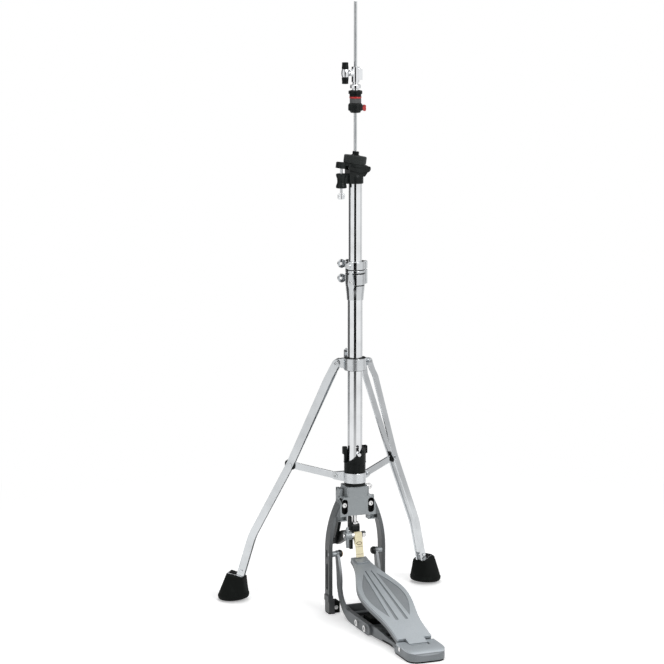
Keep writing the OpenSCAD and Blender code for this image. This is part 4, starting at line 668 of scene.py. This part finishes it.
def ring_surface(centre, first, second, reach, rise, thread):
    """Oval ring: a circle of the thread's radius carried round a superellipse in a plane."""
    angle = full_turn(64)
    turn = full_turn(12)
    oval = np.stack([reach * power(np.cos(angle), 0.8), rise * power(np.sin(angle), 0.8)], axis=-1)
    out = np.gradient(np.concatenate([oval[-1:], oval, oval[:1]]), axis=0)[1:-1]
    out = np.stack([out[:, 1], -out[:, 0]], axis=-1) / np.hypot(out[:, 0], out[:, 1])[:, None]
    flat = oval[:, None] + thread * np.cos(turn)[None, :, None] * out[:, None]
    lift = np.broadcast_to(thread * np.sin(turn)[None, :, None], (len(angle), len(turn), 1))
    upright = np.cross(first, second)
    return (centre + flat[..., :1] * first + flat[..., 1:] * second + lift * upright)[None]


def stitch_surfaces(centres, along, across, upright, length, radius):
    """One flattened ellipsoid for each stitch: rings along it, as wide as the sine of the roll."""
    flatness = 0.7
    roll = np.linspace(0.02, math.pi - 0.02, 9)[:, None, None]
    turn = full_turn(10)[None, :, None]
    spoke = np.cos(turn) * across + flatness * np.sin(turn) * upright
    stitch = 0.5 * length * np.cos(roll) * along + radius * np.sin(roll) * spoke
    return centres[:, None, None, :] + stitch[None]


def felt_surface(centre, upright, inner, outer, height, ripple, rounding):
    """Felt washer: a superellipse section turned about the axis, its radius wandering with the angle."""
    upright = unit(upright)
    side = unit(np.cross(upright, (0.0, 1.0, 0.0)))
    front = np.cross(upright, side)
    angle = full_turn(120)
    section = full_turn(48)
    wander = ripple * (np.sin(5 * angle + 0.7) + 0.7 * np.sin(11 * angle + 2.1) + 0.5 * np.sin(23 * angle))
    reach = 0.5 * (outer + inner) + 0.5 * (outer - inner) * power(np.cos(section), rounding)
    share = np.clip((reach - inner) / (outer - inner), 0.0, 1.0)
    radius = reach[None, :] + (wander[:, None] - 2.2 * ripple) * share[None, :]
    rise = 0.5 * height * power(np.sin(section), rounding) - 0.15 * ripple
    spoke = np.cos(angle)[:, None] * side + np.sin(angle)[:, None] * front
    return (centre + radius[..., None] * spoke[:, None] + rise[None, :, None] * upright)[None]


def turned_surface(centres, outward, section):
    """Turned heads: a section of radius and rise, carried round the level direction of each head."""
    side = np.cross(UP, outward)[:, None, None]
    angle = full_turn(28)[:, None]
    spoke = np.cos(angle) * side + np.sin(angle) * UP
    radius, rise = section[:, None, :1], section[:, None, 1:]
    return centres[:, None, None] + radius * spoke + rise * outward[:, None, None]


def spring_surface(middle, low, high, radius, wire, turns):
    """Coil: a circle of wire carried along a helix from the lower to the upper height."""
    share = np.linspace(0.0, 1.0, 26 * turns + 1)
    angle = math.tau * turns * share
    cos, sin = np.cos(angle), np.sin(angle)
    slope = (high - low) / (math.tau * turns)
    helix = np.stack([radius * cos, radius * sin, low + (high - low) * share], axis=-1)
    out = np.stack([cos, sin, np.zeros_like(angle)], axis=-1)
    run = np.stack([-radius * sin, radius * cos, np.full_like(angle, slope)], axis=-1)
    up = np.cross(out, run / math.hypot(radius, slope))
    turn = full_turn(14)[None, :, None]
    ring = np.cos(turn) * out[:, None] + np.sin(turn) * up[:, None]
    return (np.append(middle, 0.0) + helix[:, None] + 0.5 * wire * ring)[None]


def foot_surface(sizes, heading):
    """Rubber foot: rings carried from the sole to the upper face.

    The ring's plane turns from the splay of the sole to the lean of the upper face, and its outline
    goes from a circle to a rounded square. The sole is flat and curves up to the tread, which has a
    lip; the sides taper with a slight hollow, and the shoulder is rounded.
    """
    base, top = 0.5 * sizes.foot_width, 0.5 * sizes.foot_top_width
    low_turn, high_turn = sizes.foot_splay, -sizes.foot_lean
    low_up = np.array([math.sin(low_turn), math.cos(low_turn)])
    high_up = np.array([math.sin(high_turn), math.cos(high_turn)])
    knots = np.arange(len(TREAD_SECTION))
    steps = np.linspace(0.0, knots[-1], 29)
    tread_rise = np.interp(steps, knots, TREAD_SECTION[:, 0] * MM)
    tread_reach = np.interp(steps, knots, TREAD_SECTION[:, 1] * base)
    depth, shoulder = SHOULDER_SECTION[:, 0] * MM, SHOULDER_SECTION[:, 1] * top
    sole = np.array([sizes.foot_reach, TREAD_SECTION[1, 1] * base * math.sin(low_turn)])
    face = np.array([sizes.foot_top_reach, sizes.foot_height])
    start, end = sole + tread_rise[-1] * low_up, face + depth[0] * high_up
    share = np.linspace(0.0, 1.0, 33)[1:-1]
    middle = np.concatenate([
        sole + tread_rise[:, None] * low_up,
        start + share[:, None] * (end - start),
        face + depth[:, None] * high_up,
    ])
    hollow = 1.0 - 0.04 * np.sin(math.pi * share)
    sides = hollow * (tread_reach[-1] + share * (top - tread_reach[-1]))
    size = np.concatenate([tread_reach, sides, shoulder])[:, None]
    along = np.concatenate([np.zeros_like(steps), share, np.ones_like(depth)])[:, None]
    turn = low_turn + along * (high_turn - low_turn)
    exponent = 2.0 + (sizes.foot_round - 2.0) * along
    angle = full_turn(72)[None]
    cos, sin = np.cos(angle), np.sin(angle)
    radius = size * (np.abs(cos) ** exponent + np.abs(sin) ** exponent) ** (-1.0 / exponent)
    out = middle[:, :1] + radius * cos * np.cos(turn)
    side = radius * sin
    grid = np.empty((*out.shape, 3))
    grid[..., 0] = POST[0] + out * math.cos(heading) - side * math.sin(heading)
    grid[..., 1] = POST[1] + out * math.sin(heading) + side * math.cos(heading)
    grid[..., 2] = middle[:, 1:] - radius * cos * np.sin(turn)
    return grid[None]


class STAND_OT_finishes(bpy.types.Operator):
    """Give every CAD node that stays in view its finish"""

    bl_idname = "stand.finishes"
    bl_label = "Finishes"

    def execute(self, context):
        colours = context.scene.stand_finishes
        black, satin = colours.black_plastic, colours.satin_chrome
        origin = np.array(JOINTS["footboard_press"]["pos_m"]) + BOARD_RISE * UP
        upright = np.array([0.0, -math.sin(BOARD_LEAN), math.cos(BOARD_LEAN)])
        clamp_top = node_box("height_clamp")[1][2]
        clamp_groove = (CLAMP_GROOVE, clamp_top - GROOVE_BELOW, clamp_top + GROOVE_ABOVE)
        collar_groove = (COLLAR_GROOVE, 0.0, clamp_top)
        recipes = {
            "chrome": (chrome_finish, colours.chrome, 0.06, 0.5 * MM),
            "satin_chrome": (chrome_finish, satin, 0.12, 0.8 * MM),
            "clamp_chrome": (chrome_finish, satin, 0.10, 0.6 * MM, clamp_groove),
            "collar_chrome": (chrome_finish, satin, 0.26, 0.8 * MM, collar_groove),
            "steel": (chrome_finish, colours.steel, 0.22, 0.3 * MM),
            "casting": (cast_paint, colours.casting, 0.6 * MM),
            # Painted shade in the frame's slots and on its arms, in the tray's hollow and on the heel's skirt.
            "frame_casting": (cast_paint, colours.casting, 1.0 * MM, 1.0, SLOT_SHADE_BOX, ARMS_SHADE_BOX, 0.80),
            "tray_casting": (cast_paint, colours.dark_casting, 0.8 * MM, 0.8, TRAY_SHADE_BOX),
            "dark_casting": (cast_paint, colours.dark_casting, 0.8 * MM, 0.8),
            "heel_casting": (cast_paint, colours.board, 1.2 * MM, 0.8, None, HEEL_SHADE_BOX, 0.56),
            "board": (board_paint, colours.board, colours.board_panel, origin, upright, 0.8 * MM),
            "black_metal": (black_paint, colours.black_metal, 0.6 * MM),
            "tipped_nut": (tipped_plastic, black, colours.brass, NUT_TIP, 0.4 * MM),
            "black_plastic": (moulded_plastic, black, 0.5 * MM, 0.34, 0.13),
            "rubber": (rubber_finish, colours.rubber),
            "red_plastic": (moulded_plastic, colours.red_plastic, 0.4 * MM, 0.26, 0.5),
        }
        for finish, (recipe, *values) in recipes.items():
            material = recipe(finish, *values)
            for name in FINISH_NODES[finish]:
                cover(name, material)
        return {"FINISHED"}


class STAND_OT_webbing(bpy.types.Operator):
    """Weave the pedal strap with its eyelet and stitches"""

    bl_idname = "stand.webbing"
    bl_label = "Webbing strap"

    def execute(self, context):
        colours = context.scene.stand_finishes
        sizes = context.scene.stand_pieces
        low, high = node_box("strap")
        axle = np.array(JOINTS["strap_swing"]["pos_m"])[1:]
        middle = 0.5 * (low[0] + high[0])
        corner = low[1:]
        toe = corner + 0.5 * sizes.web_thickness * unit(axle - corner)[::-1]
        path, travel = strap_path(axle, toe, sizes.web_loop, sizes.web_seam)
        woven = woven_finish("webbing", colours.webbing, sizes.web_pitch)
        grid, uv = webbing_surface(path, travel, middle, sizes.web_width, sizes.web_thickness)

        # The runs below the neck and the loop round the axle are three pieces on the webbing's body.
        reach = unit(axle - toe)
        neck = axle - sizes.web_neck * reach
        below = (axle - path) @ reach > sizes.web_neck
        first = int(np.argmin(below))
        last = len(below) - 1 - int(np.argmin(below[::-1]))
        strap, _, tail = (
            make_piece(name, grid[:, run], woven, "webbing", uv=uv[run])
            for name, run in (
                ("webbing_strap", slice(None, first + 1)),
                ("webbing_loop", slice(first, last + 1)),
                ("webbing_tail", slice(last, None)),
            )
        )
        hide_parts("strap")
        thread = felt_finish("thread", colours.thread, 0.3)
        end = np.array([middle, *toe])
        ring, seam = self.trim(sizes, thread, end, unit(np.append(0.0, path[1] - path[0])))
        for piece in (strap, tail, ring, seam):
            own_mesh(piece)
        return {"FINISHED"}

    def trim(self, sizes, thread, end, run):
        """The eyelet and the rows of stitches, a little proud of the strap's outer face."""
        proud = 0.1 * MM
        outward = np.cross(ACROSS, run)
        outward *= np.sign(-outward[1])
        face = end + outward * (0.5 * sizes.web_thickness + proud)
        eyelet = ring_surface(face + EYELET_PLACE * run, ACROSS, run, *EYELET_SIZES)
        ring = make_piece("strap_eyelet", eyelet, thread, "webbing", ring_rows=True)
        share = np.linspace(-STITCH_SPREAD, STITCH_SPREAD, STITCH_COUNT)
        spread = share[:, None] * sizes.web_width * ACROSS
        centres = np.concatenate([face + distance * run + spread for distance in STITCH_ROWS])
        stitches = stitch_surfaces(centres, ACROSS, run, outward, *STITCH_SIZES)
        seam = make_piece("strap_stitches", stitches, thread, "webbing")
        return ring, seam


class STAND_OT_felts(bpy.types.Operator):
    """Make the felts of the seat and the clutch"""

    bl_idname = "stand.felts"
    bl_label = "Felts"

    def execute(self, context):
        colours = context.scene.stand_finishes
        sizes = context.scene.stand_pieces

        # The seat leans to one side, so the height of its felt's box holds a share of the felt's width.
        upright = np.array(MOUNTS["cymbal_seat"]["axis"])
        low, high = node_box("seat_felt")
        outer = 0.5 * (high[1] - low[1])
        height = ((high[2] - low[2]) - 2.0 * outer * abs(upright[0])) / upright[2]
        dark = felt_finish("seat_felt", colours.seat_felt, 0.55)
        ripple = sizes.felt_ripple
        grid = felt_surface(0.5 * (low + high), upright, sizes.seat_bore, outer, height, ripple, 0.30)
        seat = make_piece("seat_felt_pad", grid, dark, "seat", ring_rows=True)
        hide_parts("seat_felt")

        # The clutch felt is pressed harder, and its edge is more even.
        low, high = node_box("clutch_felt")
        outer = 0.5 * (high[0] - low[0])
        height = high[2] - low[2]
        grey = felt_finish("clutch_felt", colours.clutch_felt, 0.45)
        ripple *= 0.4
        grid = felt_surface(0.5 * (low + high), UP, sizes.clutch_bore, outer, height, ripple, 0.32)
        ring = make_piece("clutch_felt_ring", grid, grey, "clutch", ring_rows=True)
        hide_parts("clutch_felt")
        return {"FINISHED"}


class STAND_OT_return_spring(bpy.types.Operator):
    """Wind the return spring inside the post"""

    bl_idname = "stand.return_spring"
    bl_label = "Return spring"

    def execute(self, context):
        sizes = context.scene.stand_pieces
        low, high = node_box("return_spring")
        middle = 0.5 * (low + high)
        half = 0.5 * sizes.spring_wire
        radius = 0.5 * (high[0] - low[0]) - half
        start, end = low[2] + half, high[2] - half
        grid = spring_surface(middle[:2], start, end, radius, sizes.spring_wire, sizes.spring_turns)
        wire = chrome_finish("spring_wire", context.scene.stand_finishes.steel, 0.25, 0.2 * MM)

        # The coil is cut at its knee into two pieces, the turns above it and the seated turns below; neither is
        # attached to a body.
        cut = round(sizes.spring_share * (grid.shape[1] - 1))
        spring = make_piece("return_spring_coil", grid[:, cut:], wire, None)
        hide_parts("return_spring")
        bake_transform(spring)
        seated = make_piece("return_spring_seat_coils", grid[:, :cut + 1], wire, None)
        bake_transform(seated)
        return {"FINISHED"}


class STAND_OT_feet(bpy.types.Operator):
    """Mould the rubber feet of the two legs"""

    bl_idname = "stand.feet"
    bl_label = "Rubber feet"

    def execute(self, context):
        sizes = context.scene.stand_pieces
        material = rubber_finish("foot_rubber", context.scene.stand_finishes.rubber)
        for side in ("left", "right"):
            low, high = node_box(side + "_foot")
            towards = 0.5 * (low + high)[:2] - POST[:2]
            grid = foot_surface(sizes, math.atan2(towards[1], towards[0]))
            foot = make_piece(side + "_foot_rubber", grid, material, "leg_" + side)
            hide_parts(side + "_foot")
        return {"FINISHED"}


class STAND_OT_heads(bpy.types.Operator):
    """Set dark discs as painted shade in the rivets' hollows, and the cap screws of the clamps"""

    bl_idname = "stand.heads"
    bl_label = "Rivet eyes and cap screws"

    def execute(self, context):
        colours = context.scene.stand_finishes
        # Painted shade: dark discs stand for the shade in the hollows of the leg and brace rivets.
        dark = moulded_plastic("rivet_hollow_shade", colours.black_plastic, 0.2 * MM, 0.5, 0.1)
        for name, joints, body, reach in (
            ("leg_rivet_shade_discs", ("left_leg_fold", "right_leg_fold"), "collar", 12.8 * MM),
            ("brace_rivet_shade_discs", ("left_brace_fold", "right_brace_fold"), "swivel", 6.8 * MM),
        ):
            middle = np.array([JOINTS[joint]["pos_m"] for joint in joints])
            axis = np.array([JOINTS[joint]["axis"] for joint in joints])
            outward = np.concatenate([axis, -axis])
            centres = np.concatenate([middle, middle]) + reach * outward
            shade_discs = turned_surface(centres, outward, RIVET_SHADE_SECTION * MM)
            make_piece(name, shade_discs, dark, body)
        bright = chrome_finish("cap_screw", colours.steel, 0.15, 0.2 * MM)
        for name, node, body, bearing, reach, drop in (
            ("clamp_cap_screw", "height_clamp", "stand", 225.0, 21.2 * MM, 22.0 * MM),
            ("memory_cap_screw", "memory_lock", "memory", 208.0, 21.5 * MM, 8.0 * MM),
        ):
            turn = math.radians(bearing)
            outward = np.array([[math.cos(turn), math.sin(turn), 0.0]])
            height = node_box(node)[1][2] - drop
            cap = turned_surface(POST + height * UP + reach * outward, outward, CAP_SECTION * MM)
            make_piece(name, cap, bright, body)
        return {"FINISHED"}


def facing(direction):
    """Turn of a camera or a lamp that looks in a direction."""
    return Vector(direction).to_track_quat("-Z", "Y").to_euler()


class STAND_OT_stage(bpy.types.Operator):
    """Set the pale floor, the soft light and the camera"""

    bl_idname = "stand.stage"
    bl_label = "Stage"

    def execute(self, context):
        studio = context.scene.stand_studio
        self.camera(context, studio)
        self.world(context, studio.world)
        self.floor()
        self.flags(studio.turn)
        self.lamps(studio.key)
        context.scene.view_settings.view_transform = "Standard"
        return {"FINISHED"}

    def camera(self, context, studio):
        """The eye circles the post and aims at a point on it, which the picture shows off its middle."""
        away = np.array([math.sin(studio.turn), -math.cos(studio.turn), 0.0])
        eye = POST + studio.distance * away + studio.height * UP
        forward = unit(POST + studio.aim * UP - eye)
        right = unit(np.cross(forward, UP))
        above = np.cross(right, forward)
        focal = studio.lens * IMAGE_SIZE / SENSOR
        lens = bpy.data.cameras.new("camera")
        lens.sensor_width = SENSOR
        lens.lens = studio.lens
        camera = add_object("camera", lens)
        camera.location = eye
        camera.rotation_euler = facing(forward * focal - right * AIM_PIXEL[0] - above * AIM_PIXEL[1])
        context.scene.camera = camera

    def world(self, context, strength):
        """White where the camera or a reflection sees it, dimmer as a source of light."""
        world = bpy.data.worlds.new("studio")
        context.scene.world = world
        shade = Shade(world)
        level = strength + (1.0 - strength) * shade.seen()
        back = shade.node("ShaderNodeBackground", None, {"Color": WHITE, "Strength": level})
        shade.node("ShaderNodeOutputWorld", None, {"Surface": back})

    def floor(self):
        """Disc of pale floor in rings about the post, lifted to white where it is seen.

        It keeps the shadow near the stand, and glows plain white far from it.
        """
        angle = full_turn(96)
        reach = np.array([0.001, 0.5, 1.0, 2.0, 4.0, 60.0])[:, None]
        grid = np.zeros((len(reach), len(angle), 3))
        grid[..., 0] = POST[0] + reach * np.cos(angle)
        grid[..., 1] = POST[1] + reach * np.sin(angle)
        faces = grid_faces(len(reach), len(angle)).tolist() + [list(range(len(angle)))]
        shade, place = new_shade("floor")
        far = shade.reach(place).step(0.5, 1.3)
        matt = shade.node("ShaderNodeBsdfDiffuse", None, {"Color": (0.9, 0.9, 0.9, 1.0)})
        near = shade.node("ShaderNodeAddShader", None, {0: matt, 1: shade.glow(0.34 * shade.seen())})
        mixed = shade.node("ShaderNodeMixShader", None, {0: far, 1: near, 2: shade.glow(1.0)})
        floor = add_mesh("floor", grid, faces, shade.surface(mixed))

    def flags(self, camera_turn):
        """Upright boards out of view that only reflections see, pale at their foot and darker above.

        They draw the bands in the plating.
        """
        away = 0.90
        tall = 1.7
        foot_level = 0.75
        for name, bearing, width, level in (
            ("front_flag", 0.0, 0.58, 0.004),
            ("left_flag", -112.0, 0.90, 0.10),
            ("right_flag", 118.0, 0.76, 0.72),
            ("back_flag", 180.0, 0.50, 0.02),
        ):
            turn = camera_turn + math.radians(bearing)
            out = np.array([math.sin(turn), -math.cos(turn), 0.0])
            side = np.array([math.cos(turn), math.sin(turn), 0.0])
            across, rise = np.meshgrid((-0.5 * width, 0.5 * width), (0.0, tall))
            corners = POST + away * out + across[..., None] * side + rise[..., None] * UP
            shade, place = new_shade(name)
            height = shade.axis(place, "Z").step(0.05, 0.36)
            glow = shade.glow(foot_level + (level - foot_level) * height)
            flag = add_mesh(name, corners, [(0, 1, 3, 2)], shade.surface(glow))
            for ray in ("camera", "diffuse", "shadow", "transmission"):
                setattr(flag, "visible_" + ray, False)

    def lamps(self, key):
        """Large soft lamps at the right, left and above; the left one isn't mirrored in the plating."""
        target = POST + 0.5 * UP
        for name, place, size, share, mirrored in (
            ("key_lamp", (1.0, -3.0, 2.2), 1.6, 1.0, True),
            ("fill_lamp", (-2.6, -1.8, 1.6), 1.6, 0.5, False),
            ("top_lamp", (0.2, 0.6, 3.0), 1.8, 0.55, True),
        ):
            light = bpy.data.lights.new(name, "AREA")
            light.size = size
            light.energy = share * key
            lamp = add_object(name, light)
            lamp.location = POST + place
            lamp.rotation_euler = facing(target - POST - place)
            lamp.visible_glossy = mirrored


class STAND_PT_panel(bpy.types.Panel):
    """Lists the steps in the sidebar"""

    bl_idname = "STAND_PT_panel"
    bl_label = "Hi-hat stand"
    bl_space_type = "VIEW_3D"
    bl_region_type = "UI"
    bl_category = "Stand"

    def draw(self, context):
        for step in STEPS:
            self.layout.operator(step.bl_idname)
        for name, group in GROUPS.items():
            box = self.layout.box()
            values = getattr(context.scene, name)
            for key in group.__annotations__:
                box.prop(values, key)


GROUPS = {"stand_finishes": StandFinishes, "stand_pieces": StandPieces, "stand_studio": StandStudio}
STEPS = (
    STAND_OT_stage,
    STAND_OT_finishes,
    STAND_OT_webbing,
    STAND_OT_felts,
    STAND_OT_return_spring,
    STAND_OT_feet,
    STAND_OT_heads,
)


def register():
    """Registers the groups, the steps and the panel."""
    for name, group in GROUPS.items():
        bpy.utils.register_class(group)
        setattr(bpy.types.Scene, name, PointerProperty(type=group))
    for step in (*STEPS, STAND_PT_panel):
        bpy.utils.register_class(step)


def unregister():
    """Undoes register."""
    for step in (STAND_PT_panel, *reversed(STEPS)):
        bpy.utils.unregister_class(step)
    for name, group in GROUPS.items():
        delattr(bpy.types.Scene, name)
        bpy.utils.unregister_class(group)


def main():
    """Registers the add-on and runs the steps in order."""
    register()
    bpy.ops.stand.stage()
    bpy.ops.stand.finishes()
    bpy.ops.stand.webbing()
    bpy.ops.stand.felts()
    bpy.ops.stand.return_spring()
    bpy.ops.stand.feet()
    bpy.ops.stand.heads()


if __name__ == "__main__":
    main()
